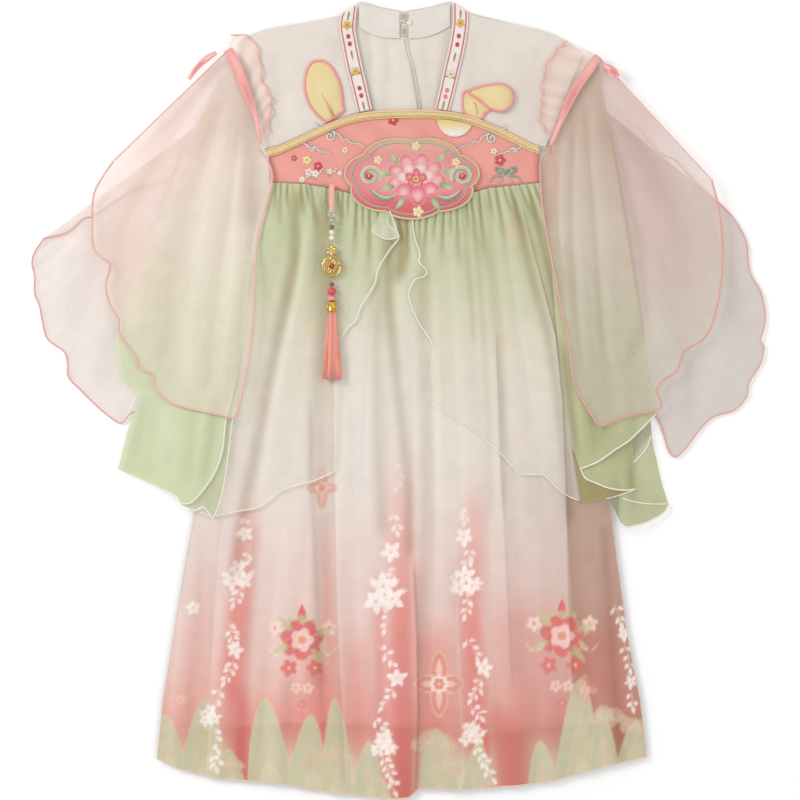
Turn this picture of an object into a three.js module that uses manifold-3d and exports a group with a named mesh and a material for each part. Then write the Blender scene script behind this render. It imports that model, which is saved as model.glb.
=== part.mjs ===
// A girl's one-piece ruqun hanfu dress, laid flat on its back.
// Millimetres. +Y points to the neck, +X to the right of the laid dress, +Z up
// from the surface it lies on. The origin is the middle of the footprint, at
// the surface.
//
// The dress is built from the pieces that are cut and sewn: a cotton yoke with
// a keyhole at the centre back, ribbon neck straps, an embroidered chest band
// with piping, braid and two padded ears, a gathered skirt of three layers
// with a short open overskirt, and on each arm a bell sleeve under a double
// flounce with a head ruffle and a satin ribbon. A beaded pendant with a
// tassel hangs from a ribbon loop on the band.

import * as THREE from "three";
import { mergeVertices } from "three/addons/utils/BufferGeometryUtils.js";
import Module from "manifold-3d";

const wasm = await Module();
wasm.setup();

// ---------------------------------------------------------------- sizes ----
const SHEER = 1.0; // wall of the chiffon and organza pieces
const COTTON = 1.5; // wall of the yoke and of the skirt's back
const BAND = 3.0; // embroidered, interlined chest band
const SEAM = 0.3; // clearance between two sewn pieces
const AIR = 0.6; // clearance between two layers that only lie on each other

const Z_BACK = 0; // back panels rest on the surface
const Z_INNER = Z_BACK + COTTON + SEAM; // lining, yoke front, band front
const Z_SKIRT = Z_INNER + SHEER + SEAM; // skirt front, in its valleys
const Z_BAND_TOP = Z_INNER + BAND;
const Z_YOKE_TOP = Z_INNER + COTTON;

const PIPING = 2.0; // width of the piping on the band's upper edge
const BRAID = 6.0; // width of the braid below it
const HEM_INSET = 4.0; // the skirt's back is cut this much inside its front

const SLEEVE_PITCH = SHEER + 2.5 * AIR; // rise from one sleeve layer to the next
const SLEEVE_RISE = 8.2; // how far the sleeves climb to lie on the skirt
const RISE_RUN = 60; // over this distance beside the skirt

const PENDANT_X = -66;
const PENDANT_Z = 12.6; // height of the pendant's thread
const THREAD = 0.5; // radius of the thread
const BORE = 0.8; // radius of a bead's hole

// ---------------------------------------------------------------- tables ---
// Side edges of the skirt: y, left edge, right edge.
const SKIRT_SIDES = [
  { y: 217, left: -125, right: 143 },
  { y: 70, left: -160, right: 174 },
  { y: -50, left: -188, right: 202 },
  { y: -120, left: -204, right: 214 },
  { y: -160, left: -212, right: 219 },
  { y: -240, left: -225, right: 230 },
  { y: -300, left: -235, right: 242 },
  { y: -359, left: -241, right: 249 },
];

// Seam between band and skirt, and the skirt's hem: share of the width, y.
const WAIST = [
  { u: 0.0, y: 217.5 },
  { u: 0.12, y: 216 },
  { u: 0.2, y: 212.5 },
  { u: 0.3, y: 206 },
  { u: 0.4, y: 200 },
  { u: 0.55, y: 198 },
  { u: 0.7, y: 204 },
  { u: 0.8, y: 212 },
  { u: 1.0, y: 217.5 },
];
const HEM = [
  { u: 0.0, y: -359 },
  { u: 0.045, y: -369 },
  { u: 0.13, y: -379 },
  { u: 0.24, y: -383 },
  { u: 0.32, y: -390 },
  { u: 0.395, y: -395 },
  { u: 0.475, y: -399 },
  { u: 0.515, y: -398 },
  { u: 0.535, y: -389 },
  { u: 0.63, y: -390 },
  { u: 0.73, y: -386 },
  { u: 0.8, y: -382 },
  { u: 0.88, y: -371 },
  { u: 1.0, y: -357 },
];

// Folds of the skirt's front: share of the width, height of the crest at the
// waist, half way down and at the hem.
const SKIRT_FOLDS = [
  { at: 0.05, waist: 1.0, mid: 1.0, hem: 2.5 },
  { at: 0.115, waist: 2.2, mid: 1.2, hem: 4.0 },
  { at: 0.18, waist: 1.8, mid: 1.5, hem: 3.0 },
  { at: 0.24, waist: 1.4, mid: 1.4, hem: 5.0 },
  { at: 0.3, waist: 1.4, mid: 1.6, hem: 4.0 },
  { at: 0.36, waist: 1.4, mid: 3.2, hem: 6.0 },
  { at: 0.425, waist: 1.0, mid: 4.2, hem: 3.0 },
  { at: 0.495, waist: 1.0, mid: 3.0, hem: 6.5 },
  { at: 0.55, waist: 1.0, mid: 2.2, hem: 2.0 },
  { at: 0.61, waist: 1.2, mid: 3.6, hem: 5.0 },
  { at: 0.675, waist: 1.6, mid: 2.6, hem: 3.0 },
  { at: 0.74, waist: 2.6, mid: 4.0, hem: 5.0 },
  { at: 0.81, waist: 2.2, mid: 2.4, hem: 3.5 },
  { at: 0.875, waist: 2.4, mid: 1.2, hem: 4.5 },
  { at: 0.945, waist: 1.0, mid: 1.0, hem: 2.5 },
];

// Upper edge of the chest band: x, y.
const BAND_TOP = [
  { x: -130.4, y: 247 },
  { x: -103, y: 259 },
  { x: -76, y: 272 },
  { x: -45, y: 284.5 },
  { x: -18, y: 287.5 },
  { x: 16, y: 288 },
  { x: 47, y: 287.3 },
  { x: 68, y: 284 },
  { x: 106, y: 269 },
  { x: 141, y: 249.5 },
];
const BAND_SIDES = { left: -130.4, right: 141, waistLeft: -125, waistRight: 143 };

// Yoke: each row is a line from the band up to the shoulder. x at the band,
// x and y at the shoulder or neck, sideways bow of the line.
const YOKE_LEFT = [
  { bx: -134, tx: -160, ty: 359, bow: 0 },
  { bx: -113, tx: -136, ty: 370, bow: 0 },
  { bx: -83, tx: -106, ty: 376, bow: 0 },
  { bx: -58, tx: -76, ty: 381, bow: -1 },
  { bx: -42, tx: -57, ty: 385, bow: -3 },
  { bx: -27, tx: -42, ty: 395, bow: -4 },
];
const YOKE_RIGHT = [
  { bx: 37, tx: 56, ty: 396, bow: 4 },
  { bx: 52, tx: 69, ty: 388, bow: 3 },
  { bx: 68, tx: 88, ty: 382, bow: 1 },
  { bx: 94, tx: 124, ty: 375, bow: 0 },
  { bx: 122, tx: 158, ty: 365, bow: 0 },
  { bx: 148, tx: 185, ty: 347, bow: 0 },
];
// The back's own upper edge between the shoulders and the centre back.
const YOKE_BACK_LEFT = [
  { bx: -134, tx: -160, ty: 359, bow: 0 },
  { bx: -113, tx: -136, ty: 370, bow: 0 },
  { bx: -83, tx: -98, ty: 377, bow: 0 },
  { bx: -53, tx: -56, ty: 386, bow: 0 },
  { bx: -26, tx: -38, ty: 399, bow: 0 },
  { bx: -2, tx: -17, ty: 394, bow: 0 },
  { bx: 20, tx: 5.5, ty: 389.5, bow: -3 },
];
const YOKE_BACK_RIGHT = [
  { bx: 20, tx: 5.5, ty: 389.5, bow: -3 },
  { bx: 34, tx: 32, ty: 394, bow: 0 },
  { bx: 48, tx: 53, ty: 399, bow: 0 },
  { bx: 68, tx: 70, ty: 389, bow: 0 },
  { bx: 94, tx: 112, ty: 378, bow: 0 },
  { bx: 122, tx: 158, ty: 365, bow: 0 },
  { bx: 148, tx: 185, ty: 347, bow: 0 },
];
const YOKE_BACK_FOOT = 250; // where the back yoke meets the back band
const KEYHOLE = { x: 6, top: 396, bottom: 363, width: 8, loopY: 378 };
const COLLAR = [
  // back neck facing: x, upper edge, lower edge
  { x: -39, top: 397, low: 373 },
  { x: -28, top: 394.5, low: 367 },
  { x: -13, top: 391.5, low: 363 },
  { x: 1.6, top: 388.5, low: 362 },
];
const COLLAR_RIGHT = [
  { x: 10.4, top: 388.5, low: 362 },
  { x: 24, top: 391.5, low: 363 },
  { x: 40, top: 394.5, low: 368 },
  { x: 52, top: 396.5, low: 374 },
];

// Neck straps: middle of the ribbon, its width.
const STRAP_LEFT = [
  { x: -48.5, y: 390, w: 15.5 },
  { x: -51, y: 374, w: 15.5 },
  { x: -48, y: 355, w: 15.5 },
  { x: -44, y: 335, w: 15.5 },
  { x: -38.5, y: 312, w: 15 },
  { x: -33.3, y: 289.5, w: 14.5 },
];
const STRAP_RIGHT = [
  { x: 62.5, y: 392, w: 15.5 },
  { x: 62.3, y: 376, w: 15.5 },
  { x: 59, y: 354, w: 15.5 },
  { x: 54, y: 332, w: 15.5 },
  { x: 49, y: 310, w: 15 },
  { x: 44.3, y: 291, w: 14.5 },
];

// Ears: middle line, width. The right ear is folded over below its tip.
const EAR_LEFT = [
  { x: -80, y: 339, w: 9 },
  { x: -79.5, y: 334, w: 21 },
  { x: -78, y: 325, w: 30 },
  { x: -76, y: 315, w: 34.5 },
  { x: -73, y: 303, w: 34 },
  { x: -68, y: 292, w: 28 },
  { x: -63, y: 284, w: 19 },
];
const EAR_RIGHT_STEM = [
  { x: 65.5, y: 306 },
  { x: 71, y: 308 },
  { x: 81, y: 301 },
  { x: 92, y: 292 },
  { x: 87, y: 287 },
  { x: 82, y: 281.7 },
  { x: 66.5, y: 288 },
];
const EAR_RIGHT_FLAP = [
  { x: 71, y: 308 },
  { x: 83, y: 313 },
  { x: 97, y: 315.4 },
  { x: 106.5, y: 315.3 },
  { x: 113, y: 310 },
  { x: 114.7, y: 302 },
  { x: 112, y: 294 },
  { x: 104, y: 289 },
  { x: 92, y: 292 },
  { x: 81, y: 301 },
];
const EAR_PAD = 2.6; // two layers of cotton with a little filling

const MOON = { x: 57, y: 281.4, r: 18 };
// Scalloped badge on the band: middle, half sizes, number and depth of lobes.
const BADGE = { x: 14, y: 222, rx: 68, ry: 41, lobes: 7, depth: 0.1, wall: 1.5 };

// Open overskirt: outline of each half.
const OVER_LEFT = [
  { x: -136, y: 195 },
  { x: -98, y: 210 },
  { x: -48, y: 200 },
  { x: -3, y: 192 },
  { x: 7, y: 164 },
  { x: 15, y: 150 },
  { x: 0, y: 136 },
  { x: -13, y: 100 },
  { x: -30, y: 75 },
  { x: -51, y: 53 },
  { x: -60, y: 0 },
  { x: -63, y: -71 },
  { x: -84, y: -80 },
  { x: -116, y: -90 },
  { x: -134, y: -104 },
  { x: -156, y: -111 },
  { x: -184, y: -114 },
  { x: -193, y: -106 },
  { x: -180, y: -40 },
  { x: -158, y: 70 },
];
const OVER_RIGHT = [
  { x: 36, y: 192 },
  { x: 72, y: 200 },
  { x: 112, y: 210 },
  { x: 147, y: 195 },
  { x: 170, y: 70 },
  { x: 192, y: -30 },
  { x: 186, y: -70 },
  { x: 180, y: -103 },
  { x: 168, y: -114 },
  { x: 160, y: -90 },
  { x: 141, y: -76 },
  { x: 123, y: -74 },
  { x: 107, y: -58 },
  { x: 72, y: -40 },
  { x: 46, y: -15 },
  { x: 35, y: 5 },
  { x: 34, y: 55 },
  { x: 26, y: 72 },
  { x: 19, y: 110 },
  { x: 25, y: 138 },
  { x: 33, y: 170 },
];

// Flounces and sleeves: each row is a gore line from the armhole (ax, ay) to
// the hem (hx, hy).
const FLOUNCE_FRONT_LEFT = [
  { ax: -174, ay: 350, hx: -284, hy: 239 },
  { ax: -170, ay: 340, hx: -303, hy: 208 },
  { ax: -166, ay: 330, hx: -305, hy: 170 },
  { ax: -162, ay: 320, hx: -292, hy: 128 },
  { ax: -158, ay: 310, hx: -288, hy: 95 },
  { ax: -154, ay: 300, hx: -277, hy: 64 },
  { ax: -150, ay: 290, hx: -258, hy: 31 },
  { ax: -147, ay: 280, hx: -241, hy: 9 },
  { ax: -144, ay: 270, hx: -216, hy: -7 },
  { ax: -141, ay: 260, hx: -188, hy: -13 },
  { ax: -138, ay: 250, hx: -161, hy: -18 },
];
const FLOUNCE_BACK_LEFT = [
  { ax: -160, ay: 305, hx: -355, hy: 163 },
  { ax: -158, ay: 299, hx: -367, hy: 138 },
  { ax: -156, ay: 293, hx: -364, hy: 106 },
  { ax: -154, ay: 287, hx: -355, hy: 70 },
  { ax: -152, ay: 281, hx: -336, hy: 48 },
  { ax: -149, ay: 275, hx: -328, hy: 21 },
  { ax: -147, ay: 269, hx: -305, hy: -3 },
  { ax: -144, ay: 263, hx: -276, hy: -22 },
  { ax: -142, ay: 257, hx: -238, hy: -12 },
  { ax: -140, ay: 252, hx: -198, hy: 12 },
];
const SLEEVE_LEFT = [
  { ax: -168, ay: 345, hx: -280, hy: -67 },
  { ax: -160, ay: 322, hx: -264, hy: -77 },
  { ax: -153, ay: 300, hx: -242, hy: -86 },
  { ax: -148, ay: 282, hx: -220, hy: -98 },
  { ax: -144, ay: 268, hx: -203, hy: -111 },
  { ax: -140, ay: 254, hx: -185, hy: -119 },
];
const RIBBON_LEFT = [
  { x: -169.5, y: 350, w: 9 },
  { x: -160, y: 332, w: 10 },
  { x: -153.5, y: 313, w: 9 },
  { x: -147.5, y: 298, w: 7 },
  { x: -142, y: 283, w: 5 },
  { x: -137, y: 255, w: 3 },
];
const RUFFLE_LEFT = [
  // inner (ix, iy) and ribbon side (rx, ry) of the head ruffle
  { ix: -167, iy: 365, rx: -169, ry: 356 },
  { ix: -152, iy: 364.5, rx: -163.5, ry: 351 },
  { ix: -143, iy: 355, rx: -158.5, ry: 343 },
  { ix: -138, iy: 340, rx: -153.5, ry: 332 },
  { ix: -136, iy: 320, rx: -148, ry: 314 },
  { ix: -128, iy: 303, rx: -143, ry: 299 },
  { ix: -128, iy: 288, rx: -138.5, ry: 284 },
  { ix: -130.5, iy: 268, rx: -136, ry: 267 },
];
const BOW_LEFT = [
  { x: -181, y: 346.5, w: 4 },
  { x: -190, y: 341, w: 6 },
  { x: -200, y: 332, w: 6 },
  { x: -209, y: 320, w: 4 },
];
const FLOUNCE_FRONT_RIGHT = [
  { ax: 200, ay: 336, hx: 313, hy: 220 },
  { ax: 196, ay: 328, hx: 322, hy: 180 },
  { ax: 192, ay: 320, hx: 324, hy: 138 },
  { ax: 188, ay: 312, hx: 318, hy: 92 },
  { ax: 184, ay: 304, hx: 305, hy: 61 },
  { ax: 180, ay: 296, hx: 283, hy: 42 },
  { ax: 175, ay: 288, hx: 262, hy: 16 },
  { ax: 170, ay: 280, hx: 257, hy: -9 },
  { ax: 165, ay: 270, hx: 228, hy: -18 },
  { ax: 159, ay: 260, hx: 199, hy: -27 },
  { ax: 152, ay: 250, hx: 179, hy: 7 },
];
const FLOUNCE_BACK_RIGHT = [
  { ax: 190, ay: 305, hx: 319, hy: 199 },
  { ax: 187, ay: 299, hx: 344, hy: 170 },
  { ax: 184, ay: 293, hx: 354, hy: 132 },
  { ax: 180, ay: 287, hx: 368, hy: 86 },
  { ax: 176, ay: 281, hx: 365, hy: 50 },
  { ax: 172, ay: 275, hx: 352, hy: 16 },
  { ax: 168, ay: 269, hx: 338, hy: -11 },
  { ax: 163, ay: 263, hx: 307, hy: -25 },
  { ax: 158, ay: 257, hx: 278, hy: -58 },
  { ax: 154, ay: 251, hx: 242, hy: -25 },
];
const SLEEVE_RIGHT = [
  { ax: 198, ay: 334, hx: 271, hy: -105 },
  { ax: 190, ay: 316, hx: 252, hy: -120 },
  { ax: 181, ay: 300, hx: 228, hy: -125 },
  { ax: 172, ay: 284, hx: 214, hy: -103 },
  { ax: 163, ay: 268, hx: 198, hy: -85 },
  { ax: 153, ay: 253, hx: 182, hy: -69 },
];
const RIBBON_RIGHT = [
  { x: 200, y: 343, w: 8 },
  { x: 192, y: 332, w: 10 },
  { x: 179, y: 313, w: 9 },
  { x: 169, y: 294, w: 8 },
  { x: 161.5, y: 276, w: 5 },
  { x: 153, y: 255, w: 3 },
];
const RUFFLE_RIGHT = [
  { ix: 169, iy: 359, rx: 186, ry: 345 },
  { ix: 158, iy: 349, rx: 183, ry: 338 },
  { ix: 148, iy: 333, rx: 177, ry: 329 },
  { ix: 144, iy: 315, rx: 168, ry: 312 },
  { ix: 144, iy: 298, rx: 161.5, ry: 294 },
  { ix: 142, iy: 282, rx: 156, ry: 278 },
  { ix: 147, iy: 269, rx: 152, ry: 267 },
];
const BOW_RIGHT = [
  { x: 204, y: 334.5, w: 3.5 },
  { x: 210, y: 331, w: 7 },
  { x: 215, y: 327, w: 9 },
  { x: 219, y: 322, w: 5 },
];

// Folds of a flounce: share along the hem, half width as a share, height.
const FLOUNCE_FOLDS = [
  { at: 0.07, width: 0.05, height: 2.5 },
  { at: 0.22, width: 0.04, height: 1.6 },
  { at: 0.38, width: 0.05, height: 2.6 },
  { at: 0.55, width: 0.05, height: 3.0 },
  { at: 0.72, width: 0.04, height: 2.2 },
  { at: 0.9, width: 0.05, height: 3.2 },
];

// Beads on the thread, from the clasp down: name, middle, radius, half length.
const BEADS = [
  { name: "bead_brown_upper", y: 172.4, r: 2.7, half: 2.4 },
  { name: "bead_pearl_upper", y: 167.1, r: 2.6, half: 2.5 },
  { name: "bead_pearl_lower", y: 161.7, r: 2.7, half: 2.5 },
  { name: "bead_brown_lower", y: 115.4, r: 2.5, half: 2.3 },
  { name: "bead_coral", y: 108.5, r: 4.6, half: 4.1 },
];
// Tassel below its cap: y, full width, full thickness.
const TASSEL = [
  { y: 88.2, w: 8.6, t: 6.0 },
  { y: 78, w: 10.5, t: 7.0 },
  { y: 55, w: 14.5, t: 7.6 },
  { y: 20, w: 20.0, t: 7.0 },
];

// --------------------------------------------------------------- helpers ---
const lerp = (a, b, t) => a + (b - a) * t;
const clamp = (t) => Math.min(1, Math.max(0, t));
const smooth = (t) => clamp(t) ** 2 * (3 - 2 * clamp(t));

// Column `out` of a table at `value` of column `key`, straight between rows.
function read(rows, key, value, out) {
  const up = rows[0][key] < rows[rows.length - 1][key];
  let i = 0;
  while (i < rows.length - 2 && (up ? value > rows[i + 1][key] : value < rows[i + 1][key])) i++;
  const t = clamp((value - rows[i][key]) / (rows[i + 1][key] - rows[i][key]));
  return lerp(rows[i][out], rows[i + 1][out], t);
}

// Column `out` at share t of the table's rows, as a Catmull-Rom curve.
function curve(rows, t, out) {
  const s = clamp(t) * (rows.length - 1);
  const i = Math.min(Math.floor(s), rows.length - 2);
  const f = s - i;
  const b = rows[i][out];
  const c = rows[i + 1][out];
  const a = i > 0 ? rows[i - 1][out] : 2 * b - c;
  const d = i < rows.length - 2 ? rows[i + 2][out] : 2 * c - b;
  return b + 0.5 * f * (c - a + f * (2 * a - 5 * b + 4 * c - d + f * (3 * (b - c) + d - a)));
}

// A closed, outward facing geometry with shared vertices.
function closed(geometry) {
  const bare = new THREE.BufferGeometry().setAttribute(
    "position",
    (geometry.index ? geometry.toNonIndexed() : geometry).getAttribute("position"),
  );
  const merged = mergeVertices(bare, 1e-4);
  const p = merged.attributes.position.array;
  const index = Array.from(merged.index.array);
  const kept = [];
  let volume = 0;
  for (let i = 0; i < index.length; i += 3) {
    const [a, b, c] = [index[i], index[i + 1], index[i + 2]];
    if (a === b || b === c || c === a) continue;
    kept.push(a, b, c);
    volume +=
      p[3 * a] * (p[3 * b + 1] * p[3 * c + 2] - p[3 * b + 2] * p[3 * c + 1]) -
      p[3 * a + 1] * (p[3 * b] * p[3 * c + 2] - p[3 * b + 2] * p[3 * c]) +
      p[3 * a + 2] * (p[3 * b] * p[3 * c + 1] - p[3 * b + 1] * p[3 * c]);
  }
  if (volume < 0) for (let i = 0; i < kept.length; i += 3) [kept[i + 1], kept[i + 2]] = [kept[i + 2], kept[i + 1]];
  merged.setIndex(kept);
  return merged;
}

// A wall over a grid: at(u, v) gives x, y and the wall's lower and upper z.
function wall(us, vs, at) {
  const nu = us.length;
  const nv = vs.length;
  const position = [];
  for (const face of ["lo", "hi"])
    for (const v of vs)
      for (const u of us) {
        const p = at(u, v);
        position.push(p.x, p.y, p[face]);
      }
  const index = [];
  const id = (face, i, j) => face * nu * nv + j * nu + i;
  for (let j = 0; j < nv - 1; j++)
    for (let i = 0; i < nu - 1; i++) {
      const flip = (i + j) % 2 === 1;
      for (const face of [0, 1]) {
        const [a, b, c, d] = [id(face, i, j), id(face, i + 1, j), id(face, i + 1, j + 1), id(face, i, j + 1)];
        const quad = flip ? [a, b, c, a, c, d] : [a, b, d, b, c, d];
        if (face === 0) for (let k = 0; k < 6; k += 3) [quad[k + 1], quad[k + 2]] = [quad[k + 2], quad[k + 1]];
        index.push(...quad);
      }
    }
  const rim = [];
  for (let i = 0; i < nu - 1; i++) rim.push([i, 0, i + 1, 0]);
  for (let j = 0; j < nv - 1; j++) rim.push([nu - 1, j, nu - 1, j + 1]);
  for (let i = nu - 1; i > 0; i--) rim.push([i, nv - 1, i - 1, nv - 1]);
  for (let j = nv - 1; j > 0; j--) rim.push([0, j, 0, j - 1]);
  for (const [i, j, k, l] of rim) {
    const [a, b, c, d] = [id(0, i, j), id(0, k, l), id(1, k, l), id(1, i, j)];
    index.push(a, b, c, a, c, d);
  }
  const g = new THREE.BufferGeometry();
  g.setAttribute("position", new THREE.Float32BufferAttribute(position, 3));
  g.setIndex(index);
  return closed(g);
}

const even = (n) => Array.from({ length: n + 1 }, (_, i) => i / n);

function solid(geometry) {
  const g = closed(geometry);
  return new wasm.Manifold(
    new wasm.Mesh({
      numProp: 3,
      vertProperties: g.attributes.position.array,
      triVerts: new Uint32Array(g.index.array),
    }),
  );
}
function geometryOf(made) {
  const mesh = made.getMesh();
  const g = new THREE.BufferGeometry();
  g.setAttribute("position", new THREE.BufferAttribute(mesh.vertProperties, 3));
  g.setIndex(new THREE.BufferAttribute(mesh.triVerts, 1));
  return g;
}

// A straight-sided block over an outline of points or curve samples.
function block(points, low, high) {
  const shape = new THREE.Shape(points.map((p) => new THREE.Vector2(p.x, p.y)));
  const g = new THREE.ExtrudeGeometry(shape, { depth: high - low, bevelEnabled: false });
  return closed(g.translate(0, 0, low));
}
// A smooth closed outline through a table's points.
function outline(rows, perSpan = 2) {
  const c = new THREE.CatmullRomCurve3(
    rows.map((r) => new THREE.Vector3(r.x, r.y, 0)),
    true,
    "centripetal",
  );
  return c.getPoints(rows.length * perSpan).slice(0, -1);
}
const cutTo = (geometry, cutter) => geometryOf(solid(geometry).intersect(solid(cutter)));
const without = (geometry, cutter) => geometryOf(solid(geometry).subtract(solid(cutter)));
const joined = (parts) => geometryOf(parts.map(solid).reduce((a, b) => a.add(b)));

// A strip along a middle line with a width, crowned across.
function strip(rows, n, low, thick, { crown = 0, across = 2, lift = () => 0 } = {}) {
  return wall(even(across), even(n), (u, v) => {
    const e = 0.01;
    const [x, y, w] = [curve(rows, v, "x"), curve(rows, v, "y"), curve(rows, v, "w")];
    const dx = curve(rows, v + e, "x") - curve(rows, v - e, "x");
    const dy = curve(rows, v + e, "y") - curve(rows, v - e, "y");
    const l = Math.hypot(dx, dy);
    const s = (u - 0.5) * w;
    const px = x - (dy / l) * s;
    const py = y + (dx / l) * s;
    const z = low + lift(px, py, v);
    return { x: px, y: py, lo: z, hi: z + thick + crown * (1 - (2 * u - 1) ** 2) };
  });
}

// A bored bead, a lathe about the thread.
function bead(y, r, half, bore = BORE, n = 4, around = 10) {
  const profile = [new THREE.Vector2(bore, -half)];
  for (let i = 0; i <= n; i++) {
    const a = lerp(-1, 1, i / n) * 1.15;
    profile.push(new THREE.Vector2(Math.max(bore + 0.3, r * Math.cos(a)), (half * Math.sin(a)) / Math.sin(1.15)));
  }
  profile.push(new THREE.Vector2(bore, half));
  profile.push(profile[0].clone());
  return closed(new THREE.LatheGeometry(profile, around).translate(PENDANT_X, y, PENDANT_Z));
}
function rod(from, to, r, n = 8) {
  const d = new THREE.Vector3().subVectors(to, from);
  const g = new THREE.CylinderGeometry(r, r, d.length(), n);
  g.applyQuaternion(new THREE.Quaternion().setFromUnitVectors(new THREE.Vector3(0, 1, 0), d.clone().normalize()));
  return g.translate(...from.clone().add(to).multiplyScalar(0.5).toArray());
}

// ------------------------------------------------------------------ skirt --
const skirtLeft = (y) => read(SKIRT_SIDES, "y", y, "left");
const skirtRight = (y) => read(SKIRT_SIDES, "y", y, "right");
const foldColumns = [0];
for (const [i, f] of SKIRT_FOLDS.entries()) {
  const before = i ? SKIRT_FOLDS[i - 1].at : -f.at;
  if (i) foldColumns.push((before + f.at) / 2);
  foldColumns.push(f.at);
}
foldColumns.push(1);
const skirtRows = [0, 0.05, 0.13, 0.25, 0.38, 0.52, 0.66, 0.8, 0.91, 1];

function skirtRelief(u, v) {
  let h = 0;
  for (const [i, f] of SKIRT_FOLDS.entries()) {
    const before = i ? (SKIRT_FOLDS[i - 1].at + f.at) / 2 : 0;
    const after = i < SKIRT_FOLDS.length - 1 ? (SKIRT_FOLDS[i + 1].at + f.at) / 2 : 1;
    if (u < before || u > after) continue;
    const t = u < f.at ? (u - before) / (f.at - before) : (after - u) / (after - f.at);
    const crest = v < 0.45 ? lerp(f.waist, f.mid, smooth(v / 0.45)) : lerp(f.mid, f.hem, smooth((v - 0.45) / 0.55));
    h = Math.max(h, crest * t);
  }
  return h;
}
function skirtPoint(u, v, inset = 0, short = 0) {
  const top = read(WAIST, "u", u, "y");
  const low = read(HEM, "u", u, "y") + short;
  const y = lerp(top, low, v);
  const side = lerp(top, Math.min(read(HEM, "u", 0, "y"), read(HEM, "u", 1, "y")), v);
  return { x: lerp(skirtLeft(side) + inset, skirtRight(side) - inset, u), y };
}
const skirtFrontAt = (u, v) => {
  const z = Z_SKIRT + skirtRelief(u, v);
  return { ...skirtPoint(u, v), lo: z, hi: z + SHEER };
};
const overAt = (u, v) => {
  const z = Z_SKIRT + SHEER + SEAM + skirtRelief(u, v);
  return { ...skirtPoint(u, v), lo: z, hi: z + SHEER };
};
const skirtFront = wall(foldColumns, skirtRows, skirtFrontAt);
const skirtBack = wall(even(14), even(5), (u, v) => ({
  ...skirtPoint(u, v, 1, HEM_INSET),
  lo: Z_BACK,
  hi: Z_BACK + COTTON,
}));
const LINING_HEM = -318; // at the side seams
const LINING_DROP = 10; // how much lower its hem hangs at the middle
const LINING_INSET = 8; // it is cut narrower than the skirt
const skirtLining = wall(even(8), even(4), (u, v) => {
  const top = read(WAIST, "u", 0.5, "y") - AIR;
  const low = LINING_HEM - LINING_DROP * Math.sin(Math.PI * u);
  const y = lerp(top, low, v);
  return { x: lerp(skirtLeft(y) + LINING_INSET, skirtRight(y) - LINING_INSET, u), y, lo: Z_INNER, hi: Z_INNER + SHEER };
});
const overSheet = wall(foldColumns, skirtRows.slice(0, 8), overAt);
const overLeft = cutTo(overSheet, block(outline(OVER_LEFT, 1), -5, 60));
const overRight = cutTo(overSheet, block(outline(OVER_RIGHT, 1), -5, 60));

// ------------------------------------------------------------- chest band --
const bandTop = (x) => read(BAND_TOP, "x", x, "y");
const bandPoint = (u, v) => {
  const xt = lerp(BAND_SIDES.left, BAND_SIDES.right, u);
  const xb = lerp(BAND_SIDES.waistLeft, BAND_SIDES.waistRight, u);
  return { x: lerp(xt, xb, v), y: lerp(bandTop(xt), read(WAIST, "u", u, "y") + SEAM, v) };
};
const bandFront = wall(foldColumns, even(2), (u, v) => ({ ...bandPoint(u, v), lo: Z_INNER, hi: Z_BAND_TOP }));
const bandBack = wall(even(14), even(1), (u, v) => ({
  x: lerp(lerp(BAND_SIDES.left + 1, BAND_SIDES.right - 1, u), skirtPoint(u, 0, 1).x, v),
  y: lerp(YOKE_BACK_FOOT - SEAM, read(WAIST, "u", u, "y") + SEAM, v),
  lo: Z_BACK,
  hi: Z_BACK + COTTON,
}));
const braid = wall(foldColumns, even(1), (u, v) => {
  const xt = lerp(BAND_SIDES.left, BAND_SIDES.right, u);
  return { x: xt, y: bandTop(xt) - v * BRAID, lo: Z_BAND_TOP + SEAM, hi: Z_BAND_TOP + SEAM + 1.2 };
});
const piping = wall(foldColumns, even(1), (u, v) => {
  const xt = lerp(BAND_SIDES.left, BAND_SIDES.right, u);
  return { x: xt, y: bandTop(xt) + SEAM + (1 - v) * PIPING, lo: Z_INNER, hi: Z_BAND_TOP + 1.5 };
});
// Badge: on the band, and over the top of the skirt below the waist seam.
const badgeOutline = even(42)
  .slice(0, -1)
  .map((t) => {
    const a = t * 2 * Math.PI;
    const r = 1 - BADGE.depth * (1 - Math.abs(Math.sin((BADGE.lobes * (a + Math.PI / 2)) / 2 + Math.PI / 2)) ** 0.8);
    return { x: BADGE.x + BADGE.rx * r * Math.cos(a), y: BADGE.y + BADGE.ry * r * Math.sin(a) };
  });
const waistAt = (x) => read(WAIST, "u", (x - BAND_SIDES.waistLeft) / (BAND_SIDES.waistRight - BAND_SIDES.waistLeft), "y");
const badgeSheet = wall(even(6), even(9), (u, v) => {
  const x = BADGE.x + lerp(-1, 1, u) * (BADGE.rx + 4);
  const y = BADGE.y + lerp(1, -1, v) * (BADGE.ry + 4);
  const z = Z_BAND_TOP + SEAM + 2.2 * smooth((waistAt(x) + 16 - y) / 14);
  return { x, y, lo: z, hi: z + BADGE.wall };
});
const badge = cutTo(badgeSheet, block(badgeOutline, -5, 60));
const moonOutline = even(14).map((t) => ({
  x: MOON.x + MOON.r * Math.cos(Math.PI * (1 + t)),
  y: MOON.y + MOON.r * Math.sin(Math.PI * (1 + t)),
}));
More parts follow.
